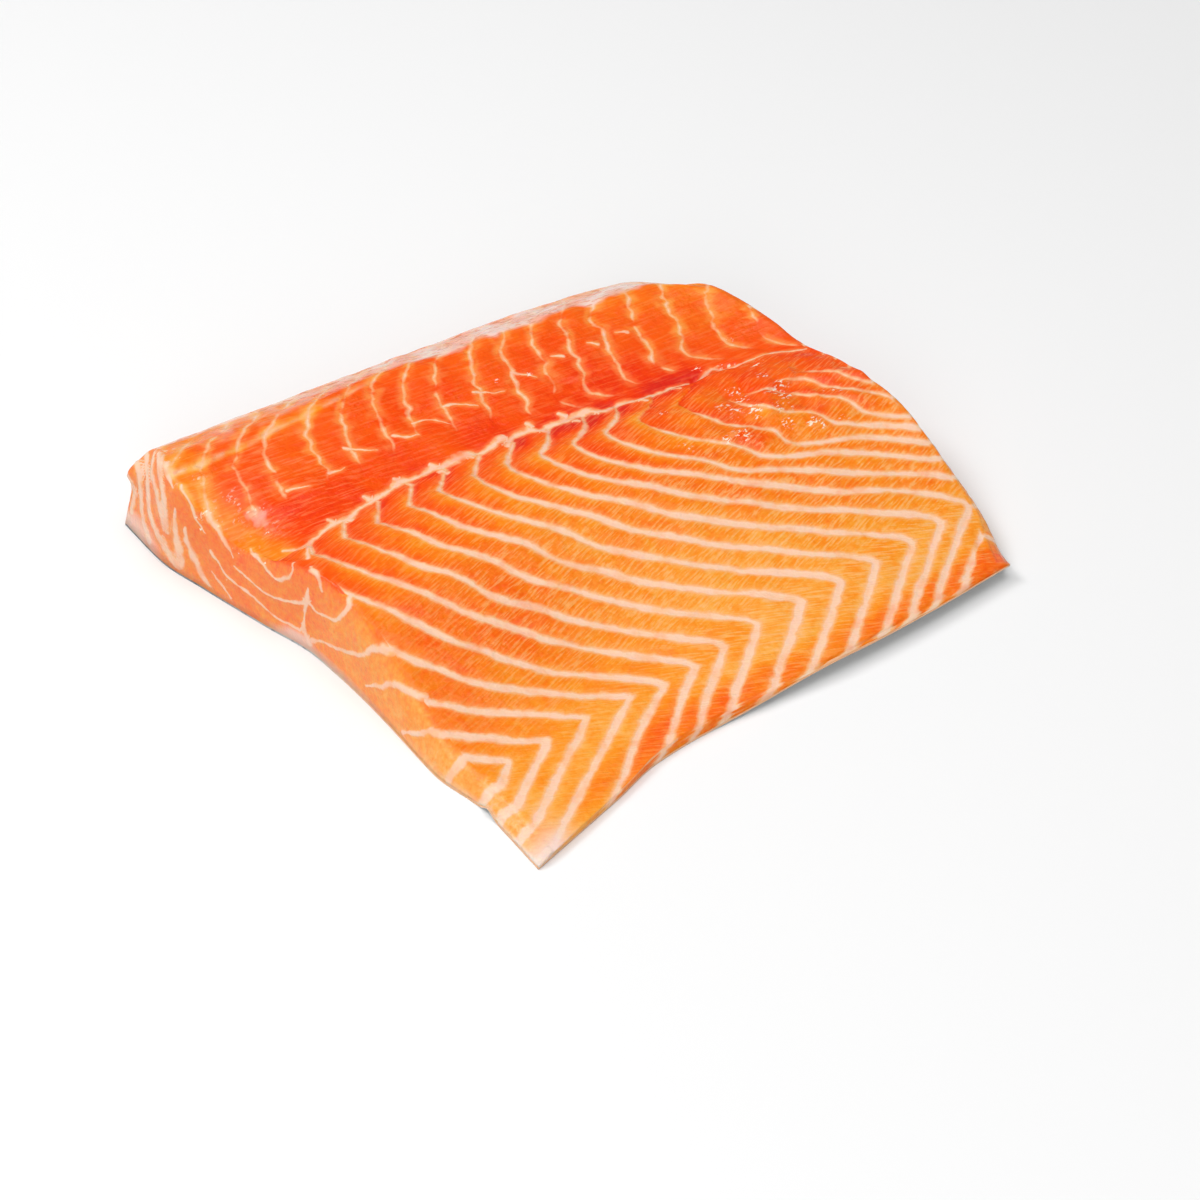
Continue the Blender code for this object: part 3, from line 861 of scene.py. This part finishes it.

# %% [markdown]
# ## Where the colours lie
# The orange isn't even. It is pale at the belly, deep red-orange over the back and darkest beside
# the midline, where the blood line was. One number for each vertex, the tint, says how deep the
# colour is. It also carries painted light and shade: near the midline each block is painted deeper
# just tailward of its wall and lighter before the next, and a few lighter spots are painted
# highlights. A second number, the film, says where white membrane still clings to the back's crest
# or a thin layer of fat lies on the skin. Further numbers say how clearly the muscle's fibres
# show and which way they run, where a cut shows them as grains, where the wet surface is broken
# enough to catch the light, and where glints are painted into the colour as highlights. They are
# worked out here, from the patch. Most of these places belong to the fish; the painted light and
# shade stand for the room's lamps, but are fixed to the fish as well.

# %% How deep the orange is
TINT_SPOT_WIDTH_V = 0.028
PAINTED_TILE_SHADE, BLOCK_DIFFERENCE = 0.42, 0.07
GOLDEN_RIM = 0.37
SEAM_PALER = 0.30
# Spots as (u, v, width along the fish, amount). Positive amounts deepen the colour, mostly along the blood
# line; negative amounts are painted highlights: lighter, golden spots where the wet flesh catches the
# light.
DEEP_SPOTS_AND_PAINTED_HIGHLIGHTS = ((0.575, 0.680, 0.045, 0.50), (0.745, 0.680, 0.035, 0.36), (0.310, 0.692, 0.022, 0.28),
              (0.130, 0.028, 0.060, 0.30), (0.630, 0.610, 0.022, -0.20), (0.446, 0.612, 0.020, -0.16),
              (0.460, 0.690, 0.025, 0.28), (0.640, 0.668, 0.020, 0.20), (0.150, 0.760, 0.100, 0.08),
              (0.805, 0.688, 0.025, 0.16), (0.740, 0.600, 0.030, -0.16),
              (0.743, 0.464, 0.024, 0.24), (0.190, 0.693, 0.020, 0.12), (0.250, 0.698, 0.016, 0.12),
              (0.360, 0.738, 0.030, -0.16), (0.500, 0.735, 0.030, -0.12), (0.225, 0.740, 0.020, -0.10))


def flesh_tint():
    belly_side = V < midline_v(U)
    belly = curve(V, (0.0, 0.06, 0.13, 0.22, 0.30, 0.42, 0.50, 0.57, 0.63, 0.68, 0.70),
                  (0.15, 0.20, 0.25, 0.30, 0.32, 0.37, 0.43, 0.51, 0.62, 0.69, 0.75))
    belly = belly + 0.36 * eased((0.075 - V) / 0.06) * eased((U - 0.14) / 0.2)
    belly = belly + 0.16 * (np.floor(wall_number) == -1.0) * eased((0.11 - V) / 0.04)
    belly = belly + 0.03 * eased((U - 0.55) / 0.2) - 0.04 * hump((V - 0.20) / 0.08)
    belly = belly + 0.12 * hump((U - 0.10) / 0.22) * hump((V - 0.30) / 0.16)
    blocks = soft_noise(np.stack([wall_number * 0.5, V * 2.5, 0.0 * U], axis=1), 1.0, 33)
    belly = belly + BLOCK_DIFFERENCE * blocks
    settled = 1.0 - 0.85 * eased((U - 0.72) / 0.08) * eased((V - 0.50) / 0.06)
    # Painted light and shade: near the midline each block is deeper just tailward of its wall and lighter
    # before the next, as its tilted tile would be lit.
    belly = belly + PAINTED_TILE_SHADE * (0.5 - block_share) * eased((V - 0.38) / 0.18) * settled
    back = curve(V, (0.68, 0.74, 0.80, 0.90, 0.97, 1.0), (0.88, 0.85, 0.75, 0.68, 0.57, 0.46))
    back = back - 0.16 * eased((U - 0.60) / 0.34) - 0.05 * eased((0.40 - U) / 0.2)
    back = GOLDEN_RIM + (back - GOLDEN_RIM) * eased((U - 0.010) / 0.065)
    tint = np.where(belly_side, belly, back)
    tint = tint - SEAM_PALER * hump((V - seam_v(U)) / 0.007) * eased((0.42 - U) / 0.15)
    # Deeper spots, and painted highlights where the amount is negative.
    for u, v, wide, amount in DEEP_SPOTS_AND_PAINTED_HIGHLIGHTS:
        tint = tint + amount * hump((U - u) / wide) * hump((V - v) / TINT_SPOT_WIDTH_V)
    tint = tint + torn_here(U, V) * (0.15 + wander(places, ((0.16, 0.012), (0.10, 0.004)), 34))
    head = curve(V, (0.0, 0.10, 0.25, 0.50, 0.62, 0.72, 0.82, 0.92, 1.0),
                 (0.13, 0.17, 0.24, 0.36, 0.44, 0.45, 0.44, 0.45, 0.42))
    side = np.where(ON_HEAD, head, tint)
    over_rim = eased((W - 0.70) / 0.30)
    tint = over_rim * tint + (1.0 - over_rim) * side
    tint = tint + wander(places, ((0.06, 0.016), (0.045, 0.005)), 31)
    return np.clip(tint, 0.0, 1.0)


tint = flesh_tint()
print("tint from", round(float(tint.min()), 2), "to", round(float(tint.max()), 2))

# %% Membrane on the crest, and fat on the skin
def crest_membrane():
    edge = curve(U, (0.0, 0.20, 0.30, 0.442, 0.494, 0.544, 0.61, 0.706, 0.768, 0.843, 0.899, 0.95, 0.98),
                 (1.02, 0.995, 0.975, 0.962, 0.948, 0.933, 0.940, 0.934, 0.932, 0.933, 0.931, 0.965, 1.01))
    rag = wander(places, ((0.012, 0.008), (0.006, 0.003)), 41)
    film = eased((V - edge + rag) / 0.014) * ON_TOP
    film = np.where(face_of == BACK, 0.85 * eased((W - 0.15) / 0.5), film)
    flecks = eased(0.5 + 1.6 * soft_noise(places * (0.5, 1.0, 1.0), 0.0042, 43))
    film = film * (0.55 + 0.45 * flecks)
    past_seam = eased((V - seam_v(U) - 0.012) / 0.03) * eased((0.50 - U) / 0.10)
    outer = 0.34 * past_seam * eased((U - 0.04) / 0.10) * ON_TOP
    film = np.maximum(film, outer * eased(0.6 + 0.9 * soft_noise(places, 0.004, 46)))
    seam = 0.45 * hump((V - seam_v(U)) / 0.004) * eased((0.42 - U) / 0.15) * ON_TOP
    return np.maximum(film, seam * eased(0.45 + 1.2 * soft_noise(places, 0.004, 44)))


def pale_spots():
    """The belly's pale tip, and a soft pale patch near the head end."""
    foot = 0.5 * ON_HEAD * hump(V / 0.3) * hump(W / 0.12)
    tip = 0.9 * hump(U / 0.035) * hump(V / 0.035) + foot
    pale_patch = hump((U - 0.052) / 0.013) * hump((V - 0.785) / 0.022)
    pale_patch = pale_patch + 0.45 * soft_noise(places, 0.0020, 47)
    return np.maximum(tip, 0.36 * eased((pale_patch - 0.35) / 0.40) * ON_TOP)


def fat_under_the_cuts():
    """The pale fat between the flesh and the skin, and the cuts' faint milkiness."""
    reach = 0.03 + 0.05 * hump((V - 0.95) / 0.08) + 0.03 * hump((V - 0.60) / 0.03)
    under = 0.75 * eased((reach - W) / 0.03) * eased(0.55 + soft_noise(places, 0.018, 48))
    milky = 0.08 * eased((1.0 - W) / 0.25)
    return (ON_HEAD | ON_TAIL) * np.maximum(under * eased((V - 0.3) / 0.2), milky)


film = np.maximum(crest_membrane(), np.maximum(pale_spots(), fat_under_the_cuts()))
film = np.clip(film, 0.0, 1.0)
print("vertices under a film:", int((film > 0.3).sum()))

# %% Fibres
def cut_face():
    """Where the fibres are cut across, so that they show as grains and not as streaks."""
    return (ON_HEAD | ON_TAIL) * eased((1.0 - W) / 0.15)


def lowest_belly():
    """Where the fibres turn, beyond the walls' sharp corners near the belly's edge."""
    return eased((0.21 - V) / 0.07)


def fibre_strength():
    """How clearly the muscle's fibres show as fine pale streaks."""
    low = hump((V - 0.36) / 0.20) * eased((U - 0.02) / 0.2)
    right = hump((V - 0.45) / 0.20) * eased((U - 0.50) / 0.3)
    corners = hump((V - 0.13) / 0.12) * eased((U - 0.25) / 0.3)
    belly = 0.25 + 0.55 * low + 0.45 * right + 0.40 * corners
    belly = np.clip(belly, 0.0, 1.0) * (1.0 - 0.8 * torn_here(U, V))
    back = 0.16 + 0.16 * eased((0.25 - U) / 0.1)
    return np.where(V < midline_v(U), belly, back) * (0.4 + 0.6 * ON_TOP)


fibre = fibre_strength()
print("fibres show most at", round(float(fibre.max()), 2))

# %% Painted glints, and the wettest surface
# Spots of painted highlight: (u, v, width) on the upper face, (v, depth, width) on the head's face.
GLINTS = ((0.805, 0.590, 0.018), (0.800, 0.565, 0.014), (0.835, 0.495, 0.018), (0.815, 0.465, 0.016),
          (0.855, 0.440, 0.014), (0.735, 0.480, 0.016), (0.705, 0.480, 0.012), (0.905, 0.425, 0.010),
          (0.760, 0.545, 0.020), (0.675, 0.600, 0.009), (0.895, 0.650, 0.014), (0.910, 0.745, 0.007),
          (0.860, 0.680, 0.014), (0.820, 0.700, 0.010), (0.540, 0.840, 0.006), (0.855, 0.540, 0.018),
          (0.790, 0.515, 0.018), (0.870, 0.600, 0.012), (0.015, 0.940, 0.007), (0.025, 0.795, 0.009),
          (0.070, 0.790, 0.007), (0.040, 0.750, 0.007), (0.055, 0.800, 0.006), (0.590, 0.825, 0.006),
          (0.640, 0.500, 0.012), (0.880, 0.560, 0.018), (0.930, 0.500, 0.012))
HEAD_FACE_GLINTS = ((0.825, 0.27, 0.0075), (0.810, 0.43, 0.005), (0.755, 0.26, 0.004),
                    (0.740, 0.34, 0.005), (0.685, 0.29, 0.007), (0.745, 0.84, 0.003),
                    (0.785, 0.52, 0.003))
FACE_STRETCH = 7.0


def glints():
    """Where glints are painted: small broken spots of painted highlight on the torn, wet surface."""
    total = 0.28 * hump(U / 0.08) * eased((V - 0.70) / 0.05)
    for u, v, wide in GLINTS:
        total = np.maximum(total, hump((U - u) / wide) * hump((V - v) / wide))
    total = total * (W > 0.8)
    for v, depth, wide in HEAD_FACE_GLINTS:
        spot = hump((V - v) / wide) * hump((1.0 - W - depth) / (FACE_STRETCH * wide))
        total = np.maximum(total, spot * ON_HEAD)
    return total


def shine():
    """Where the surface is wettest and most broken, so that it glints."""
    crest = hump((V - 0.93) / 0.05) * eased((0.45 - U) / 0.2)
    rim = hump(U / 0.035) * eased((V - 0.62) / 0.08)
    patches = eased(0.2 + 1.4 * soft_noise(places, 0.012, 45))
    back = 0.35 * eased((V - 0.72) / 0.05) + 0.10
    wettest = np.clip(torn_here(U, V) + 0.7 * crest + 0.9 * rim + back, 0.0, 1.0)
    return wettest * patches * ON_TOP


FOR_THE_MATERIAL = {
    "wall_count": wall_number, "wall_pitch": wall_pitch, "wall_half": wall_half,
    "line_side": line_side, "line_gap": line_gap, "tint": tint, "film": film, "fibre": fibre,
    "turned": lowest_belly(), "cut_face": cut_face(), "shine": shine(), "glint": glints(),
    "above_midline": (V > midline_v(U)).astype(float),
}
for attribute, values in FOR_THE_MATERIAL.items():
    store(flesh_mesh, attribute, values)
print("numbers kept for each vertex:", ", ".join(FOR_THE_MATERIAL))

# %% [markdown]
# ## Materials
# Both materials are wet, so they share one node group for it: a fine ripple that breaks up the
# highlights. The flesh adds its own: a ramp from pale orange to deep red, fine streaks along the
# muscle's fibres, and the fat, whose edge is drawn here from the distances that each vertex
# carries. Light enters raw fish and comes out a little further on, so the shader scatters it
# under the surface.

# %% A helper for node trees
class Network:
    """Adds nodes to one tree. Each method takes outputs or plain values and returns an output."""

    def __init__(self, tree):
        self.tree = tree

    def add(self, kind, label, **settings):
        node = self.tree.nodes.new(kind)
        node.label = label
        for name, value in settings.items():
            setattr(node, name, value)
        return node

    def wire(self, value, socket):
        if isinstance(value, bpy.types.NodeSocket):
            self.tree.links.new(value, socket)
        else:
            socket.default_value = value

    def maths(self, operation, first, second=0.0, third=0.0):
        node = self.add("ShaderNodeMath", operation.lower(), operation=operation)
        for socket, value in zip(node.inputs, (first, second, third)):
            self.wire(value, socket)
        return node.outputs[0]

    def plus(self, first, second):
        return self.maths("ADD", first, second)

    def minus(self, first, second):
        return self.maths("SUBTRACT", first, second)

    def times(self, first, second):
        return self.maths("MULTIPLY", first, second)

    def larger(self, first, second):
        return self.maths("MAXIMUM", first, second)

    def scaled(self, value, factor, base):
        return self.maths("MULTIPLY_ADD", value, factor, base)


print("a helper for node trees:", Network.__name__)

# %% Steps, mixtures and noise
class FishNetwork(Network):
    """What the fish's materials add to the helper."""

    def place(self):
        return self.add("ShaderNodeTexCoord", "place").outputs["Object"]

    def attribute(self, name):
        return self.add("ShaderNodeAttribute", name, attribute_name=name).outputs["Fac"]

    def soft_step(self, value, start, end):
        """Turns a value into 0 before start and 1 after end, with a soft step between."""
        node = self.add("ShaderNodeMapRange", "soft step", interpolation_type="SMOOTHSTEP")
        for name, setting in (("Value", value), ("From Min", start), ("From Max", end)):
            self.wire(setting, node.inputs[name])
        return node.outputs["Result"]

    def mixed(self, share, first, second, blend="MIX"):
        node = self.add("ShaderNodeMix", "mix", data_type="RGBA", blend_type=blend)
        for socket, value in ((0, share), (6, first), (7, second)):
            self.wire(value, node.inputs[socket])
        return node.outputs[2]

    def noise(self, vector, scale, detail, stretch=(1.0, 1.0, 1.0), turn=0.0):
        if turn:
            turned = self.add("ShaderNodeVectorRotate", "turn", rotation_type="Z_AXIS")
            turned.inputs["Angle"].default_value = -turn
            self.wire(vector, turned.inputs["Vector"])
            vector = turned.outputs["Vector"]
        mapping = self.add("ShaderNodeMapping", "stretch")
        mapping.inputs["Scale"].default_value = stretch
        self.wire(vector, mapping.inputs["Vector"])
        node = self.add("ShaderNodeTexNoise", "noise")
        node.inputs["Scale"].default_value = scale
        node.inputs["Detail"].default_value = detail
        self.wire(mapping.outputs["Vector"], node.inputs["Vector"])
        return node.outputs["Fac"]


def new_material(name):
    material = bpy.data.materials.new(name)
    material.use_nodes = True
    return material, FishNetwork(material.node_tree), material.node_tree.nodes["Principled BSDF"]


print("materials are made with", FishNetwork.__name__)

# %% The wet surface, for both materials
WET_INPUTS = {"Vector": "NodeSocketVector", "Height": "NodeSocketFloat", "Shine": "NodeSocketFloat",
              "Smoothest": "NodeSocketFloat", "Roughest": "NodeSocketFloat"}
WET_OUTPUTS = {"Roughness": "NodeSocketFloat", "Normal": "NodeSocketVector"}
RIPPLE_SCALE, SPARKLE_SCALE, DRY_PATCH_SCALE = 280.0, 620.0, 45.0


def make_wet_group():
    group = bpy.data.node_groups.new("wet surface", "ShaderNodeTree")
    for name, socket in WET_INPUTS.items():
        group.interface.new_socket(name, in_out="INPUT", socket_type=socket)
    for name, socket in WET_OUTPUTS.items():
        group.interface.new_socket(name, in_out="OUTPUT", socket_type=socket)
    given = group.nodes.new("NodeGroupInput").outputs
    result = group.nodes.new("NodeGroupOutput").inputs
    net = FishNetwork(group)
    ripple = net.noise(given["Vector"], RIPPLE_SCALE, 3.0)
    sparkle = net.noise(given["Vector"], SPARKLE_SCALE, 2.0)
    patches = net.noise(given["Vector"], DRY_PATCH_SCALE, 2.0)
    height = net.scaled(ripple, net.scaled(given["Shine"], 0.5, 0.28), given["Height"])
    height = net.scaled(sparkle, net.scaled(given["Shine"], 0.12, 0.12), height)
    bump = net.add("ShaderNodeBump", "ripples")
    bump.inputs["Strength"].default_value = 1.0
    bump.inputs["Distance"].default_value = MM
    net.wire(height, bump.inputs["Height"])
    net.wire(bump.outputs["Normal"], result["Normal"])
    dry = net.times(net.soft_step(patches, 0.35, 0.60), net.minus(1.0, given["Shine"]))
    spread = net.minus(given["Roughest"], given["Smoothest"])
    net.wire(net.scaled(dry, spread, given["Smoothest"]), result["Roughness"])
    return group


WET = make_wet_group()


def wet(net, shader, **given):
    """Places the wet surface in a material, and feeds the shader's Roughness and Normal."""
    node = net.add("ShaderNodeGroup", "wet surface", node_tree=WET)
    for name, value in given.items():
        net.wire(value, node.inputs[name])
    for name in WET_OUTPUTS:
        net.wire(node.outputs[name], shader.inputs[name])


print("group:", WET.name)

# %% Colours of the flesh
TINTS = ((0.00, (0.962, 0.500, 0.190)), (0.14, (0.964, 0.405, 0.060)), (0.28, (0.966, 0.300, 0.014)),
         (0.44, (0.964, 0.200, 0.006)), (0.60, (0.950, 0.118, 0.004)), (0.76, (0.925, 0.074, 0.002)),
         (0.90, (0.850, 0.034, 0.002)), (1.00, (0.740, 0.022, 0.008)))
FAT = (0.955, 0.490, 0.235, 1.0)
FAT_CORE = (0.965, 0.610, 0.430, 1.0)
STREAK = (0.975, 0.490, 0.190, 1.0)
# Painted highlight: the colour of the glints painted into the flesh's colour.
PAINTED_GLINT = (0.985, 0.870, 0.700, 1.0)
FLECK = (0.760, 0.260, 0.140, 1.0)
MEMBRANE = (0.890, 0.670, 0.580, 1.0)


def tint_ramp(net, shade):
    ramp = net.add("ShaderNodeValToRGB", "tints")
    while len(ramp.color_ramp.elements) < len(TINTS):
        ramp.color_ramp.elements.new(0.5)
    for element, (position, colour) in zip(ramp.color_ramp.elements, TINTS):
        element.position = position
        element.color = (*colour, 1.0)
    net.wire(shade, ramp.inputs["Fac"])
    return ramp.outputs["Color"]


print("tints:", len(TINTS))

# %% Masks of the fat
RAGGED_MM = 1.9
HALO_COVER = 0.20


def fat_masks(net, place):
    """The fat, how far it covers the muscle, its whitest core, and the glow beside it."""
    count = net.plus(net.attribute("wall_count"), 0.5)
    away = net.maths("ABSOLUTE", net.minus(net.maths("FRACT", count), 0.5))
    away = net.times(away, net.attribute("wall_pitch"))
    ragged = net.times(net.minus(net.noise(place, 330.0, 5.0), 0.5), RAGGED_MM)
    half, gap, cut_face = (net.attribute(name) for name in ("wall_half", "line_gap", "cut_face"))
    beyond = net.plus(net.minus(away, half), ragged)
    wall = net.times(net.soft_step(beyond, 0.75, -0.50), net.soft_step(half, 0.02, 0.34))
    sideways = net.plus(net.maths("ABSOLUTE", net.attribute("line_side")), ragged)
    drawn = net.times(net.soft_step(sideways, 1.55, 0.50), net.soft_step(gap, 0.95, 0.30))
    fat = net.larger(wall, drawn)
    core = net.times(net.soft_step(sideways, 0.75, 0.15), drawn)
    core = net.larger(net.soft_step(beyond, -0.20, -0.90), core)
    # On the cut faces the fat is painted whiter: painted light for faces that turn from the key lamp.
    core = net.larger(core, net.times(fat, net.times(cut_face, 0.85)))
    thinning = net.soft_step(net.noise(place, 130.0, 3.0), 0.30, 0.55)
    above = net.attribute("above_midline")
    halo = net.soft_step(beyond, net.scaled(above, 1.6, 2.0), -0.2)
    halo = net.times(halo, net.soft_step(half, 0.05, 0.35))
    halo = net.times(net.larger(halo, net.soft_step(gap, 1.8, 0.0)), thinning)
    halo = net.times(halo, net.scaled(cut_face, -0.75, 1.0))
    cover = net.times(fat, net.scaled(thinning, 0.32, 0.66))
    return fat, net.larger(cover, net.times(halo, HALO_COVER)), core, halo


print("the fat's edge is ragged by", RAGGED_MM / 2.0, "mm")

# %% Muscle and its fibres
FIBRE_STRETCH = (140.0, 1250.0, 1250.0)
BACK_FIBRE_STRETCH = (100.0, 1050.0, 1050.0)
BELLY_FIBRE_TURN = math.radians(24.0)
LOWEST_FIBRE_TURN = math.radians(-20.0)
GRAIN_SCALE = 560.0


def fibre_streaks(net, place):
    """Fine streaks: slanting over the belly, level on the back, turned at the belly's edge."""
    fibres = net.noise(place, 1.0, 3.0, FIBRE_STRETCH, BELLY_FIBRE_TURN)
    level = net.noise(place, 1.0, 4.0, BACK_FIBRE_STRETCH)
    streaks = net.scaled(net.attribute("above_midline"), net.minus(level, fibres), fibres)
    turned = net.noise(place, 1.0, 3.0, FIBRE_STRETCH, LOWEST_FIBRE_TURN)
    return net.scaled(net.attribute("turned"), net.minus(turned, streaks), streaks)


def muscle_colour(net, place, streaks, grain, halo):
    fibre, above, cut_face = (net.attribute(name) for name in ("fibre", "above_midline", "cut_face"))
    swing = net.times(net.minus(0.5, streaks), net.scaled(fibre, 0.42, 0.10))
    shade = net.plus(swing, net.attribute("tint"))
    shade = net.scaled(net.minus(net.noise(place, 95.0, 4.0), 0.5), 0.24, shade)
    grains = net.scaled(cut_face, 0.30, net.scaled(above, -0.10, 0.24))
    shade = net.scaled(net.minus(grain, 0.5), grains, shade)
    shade = net.scaled(halo, net.scaled(above, -0.20, -0.05), shade)
    pale = net.times(net.soft_step(streaks, 0.48, 0.64), net.times(fibre, 0.55))
    return net.mixed(pale, tint_ramp(net, shade), STREAK)


print("fibres turn by", round(math.degrees(BELLY_FIBRE_TURN)), "degrees over the belly")

# %% Membrane, and painted glints, in the material
FLECK_STRETCH = (240.0, 620.0, 620.0)
# Stretch of the specks of painted highlight.
PAINTED_GLINT_STRETCH = (560.0, 1050.0, 800.0)


def with_membrane(net, place, colour):
    film = net.attribute("film")
    colour = net.mixed(film, colour, MEMBRANE)
    flecks = net.soft_step(net.noise(place, 1.0, 4.0, FLECK_STRETCH), 0.52, 0.62)
    uncut = net.minus(net.attribute("above_midline"), net.attribute("cut_face"))
    flecks = net.times(flecks, net.larger(uncut, 0.0))
    flecks = net.times(flecks, net.times(film, net.minus(1.45, film)))
    return net.mixed(net.times(flecks, 1.4), colour, FLECK)


# Painted highlights: white-gold specks mixed into the colour, in clusters at the glint spots.
def with_painted_glints(net, place, colour):
    specks = net.noise(place, 1.0, 3.0, PAINTED_GLINT_STRETCH, math.radians(15.0))
    specks = net.soft_step(specks, 0.55, 0.62)
    glint = net.attribute("glint")
    clusters = net.plus(net.scaled(net.noise(place, 150.0, 3.0), 2.4, -1.2), glint)
    clusters = net.times(net.soft_step(clusters, 0.30, 0.75), net.soft_step(glint, 0.08, 0.30))
    return net.mixed(net.times(specks, net.times(clusters, 0.90)), colour, PAINTED_GLINT)


print("specks are stretched", PAINTED_GLINT_STRETCH)

# %% Flesh
def flesh_material():
    material, net, shader = new_material("raw_flesh")
    place = net.place()
    fat, cover, core, halo = fat_masks(net, place)
    streaks = fibre_streaks(net, place)
    grain = net.noise(place, GRAIN_SCALE, 3.0)
    colour = muscle_colour(net, place, streaks, grain, halo)
    colour = net.mixed(cover, colour, net.mixed(core, FAT, FAT_CORE))
    colour = with_painted_glints(net, place, with_membrane(net, place, colour))
    net.wire(colour, shader.inputs["Base Color"])
    height = net.scaled(streaks, 0.20, net.times(fat, 0.03))
    height = net.scaled(grain, net.scaled(net.attribute("cut_face"), 0.25, 0.06), height)
    wet(net, shader, Vector=place, Height=height, Shine=net.attribute("shine"),
        Smoothest=0.12, Roughest=0.26)
    shader.inputs["Subsurface Weight"].default_value = 0.35
    shader.inputs["Subsurface Radius"].default_value = (1.0, 0.35, 0.12)
    shader.inputs["Subsurface Scale"].default_value = 0.0022
    shader.inputs["IOR"].default_value = 1.35
    shader.inputs["Specular IOR Level"].default_value = 0.32
    return material


flesh_mesh.materials.append(flesh_material())
flesh = bpy.data.objects.new("flesh_fillet", flesh_mesh)
bpy.context.scene.collection.objects.link(flesh)
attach(flesh, "root")
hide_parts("flesh")
print("material:", flesh_mesh.materials[0].name)

# %% [markdown]
# ## The skin
# The fillet rests on its skin: a thin, tough sheet, silver at the belly and dark along the back,
# with small overlapping scales. From most sides only its cut edge shows, as a fine grey line
# round the foot. It is made the same way as the flesh, from a grid whose rim is extruded, but its
# vertices are placed on the underside, and domes for the scales are raised on its lower face.

# %% Skin mesh
SKIN_ALONG, SKIN_ACROSS = 250, 228
SCALE_LONG, SCALE_WIDE, SCALE_RAISED = 0.0046, 0.0034, 0.00022


def skin_places(u, v, w):
    x, y = plan(u, v)
    return np.stack([x, y, underside(u, v) + lip(u, v) + SKIN_THICKNESS * w], axis=-1)


def scale_dome(x, y):
    """Height of the scales: overlapping discs in staggered rows, each tilted up at its tail end."""
    row = y / SCALE_WIDE
    along = x / SCALE_LONG + 0.5 * (np.floor(row) % 2.0)
    across = (row - np.floor(row) - 0.5) * 2.0
    run = along - np.floor(along) - 0.25 * np.square(across)
    run = run - np.floor(run)
    return run * (1.0 - 0.45 * np.square(across))


skin_mesh = closed_patch("skin_sheet", SKIN_ALONG, SKIN_ACROSS, (0.25, 0.6, 1.0), 0.0)
skin_patch = read_vertices(skin_mesh)
skin_at = skin_places(skin_patch[:, 0], skin_patch[:, 1], skin_patch[:, 2])
lower = skin_patch[:, 2] <= 0.0
inside = eased(np.minimum(np.minimum(skin_patch[:, 0], 1.0 - skin_patch[:, 0]),
                          np.minimum(skin_patch[:, 1], 1.0 - skin_patch[:, 1])) / 0.01)
domes = scale_dome(skin_at[:, 0], skin_at[:, 1])
skin_at[:, 2] += np.where(lower, SCALE_RAISED * inside * (1.0 - domes), 0.0)
write_vertices(skin_mesh, skin_at)
skin_mesh.shade_smooth()
store(skin_mesh, "back", np.clip(skin_patch[:, 1], 0.0, 1.0))
store(skin_mesh, "dome", domes)
store(skin_mesh, "cut_edge", np.where(lower, 0.0, 1.0))
print("skin:", len(skin_mesh.vertices), "vertices")

# %% Skin material
SILVER = (0.56, 0.56, 0.54, 1.0)
SLATE = (0.115, 0.130, 0.135, 1.0)
EDGE = (0.88, 0.46, 0.24, 1.0)
SCALE_HOLLOW_SHADE = (0.55, 0.57, 0.60, 1.0)


def skin_material():
    material, net, shader = new_material("silver_skin")
    place = net.place()
    dome, cut_edge = net.attribute("dome"), net.attribute("cut_edge")
    cloud = net.minus(net.noise(place, 60.0, 3.0), 0.5)
    up_the_side = net.scaled(cloud, 0.35, net.attribute("back"))
    colour = net.mixed(net.soft_step(up_the_side, 0.45, 0.95), SILVER, SLATE)
    # Painted shade: darker in the hollows where each scale tucks under the next.
    shaded_hollows = net.mixed(1.0, colour, SCALE_HOLLOW_SHADE, "MULTIPLY")
    colour = net.mixed(net.soft_step(dome, 0.35, 0.0), colour, shaded_hollows)
    belly_edge = net.times(net.soft_step(up_the_side, 0.62, 0.38), cut_edge)
    net.wire(net.mixed(belly_edge, colour, EDGE), shader.inputs["Base Color"])
    net.wire(net.times(net.minus(1.0, cut_edge), 0.45), shader.inputs["Metallic"])
    wet(net, shader, Vector=place, Height=net.times(dome, 0.12), Shine=0.0,
        Smoothest=0.22, Roughest=0.40)
    return material


skin_mesh.materials.append(skin_material())
skin = bpy.data.objects.new("skin_sheet", skin_mesh)
bpy.context.scene.collection.objects.link(skin)
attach(skin, "root")
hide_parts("skin")
print("material:", skin_mesh.materials[0].name)
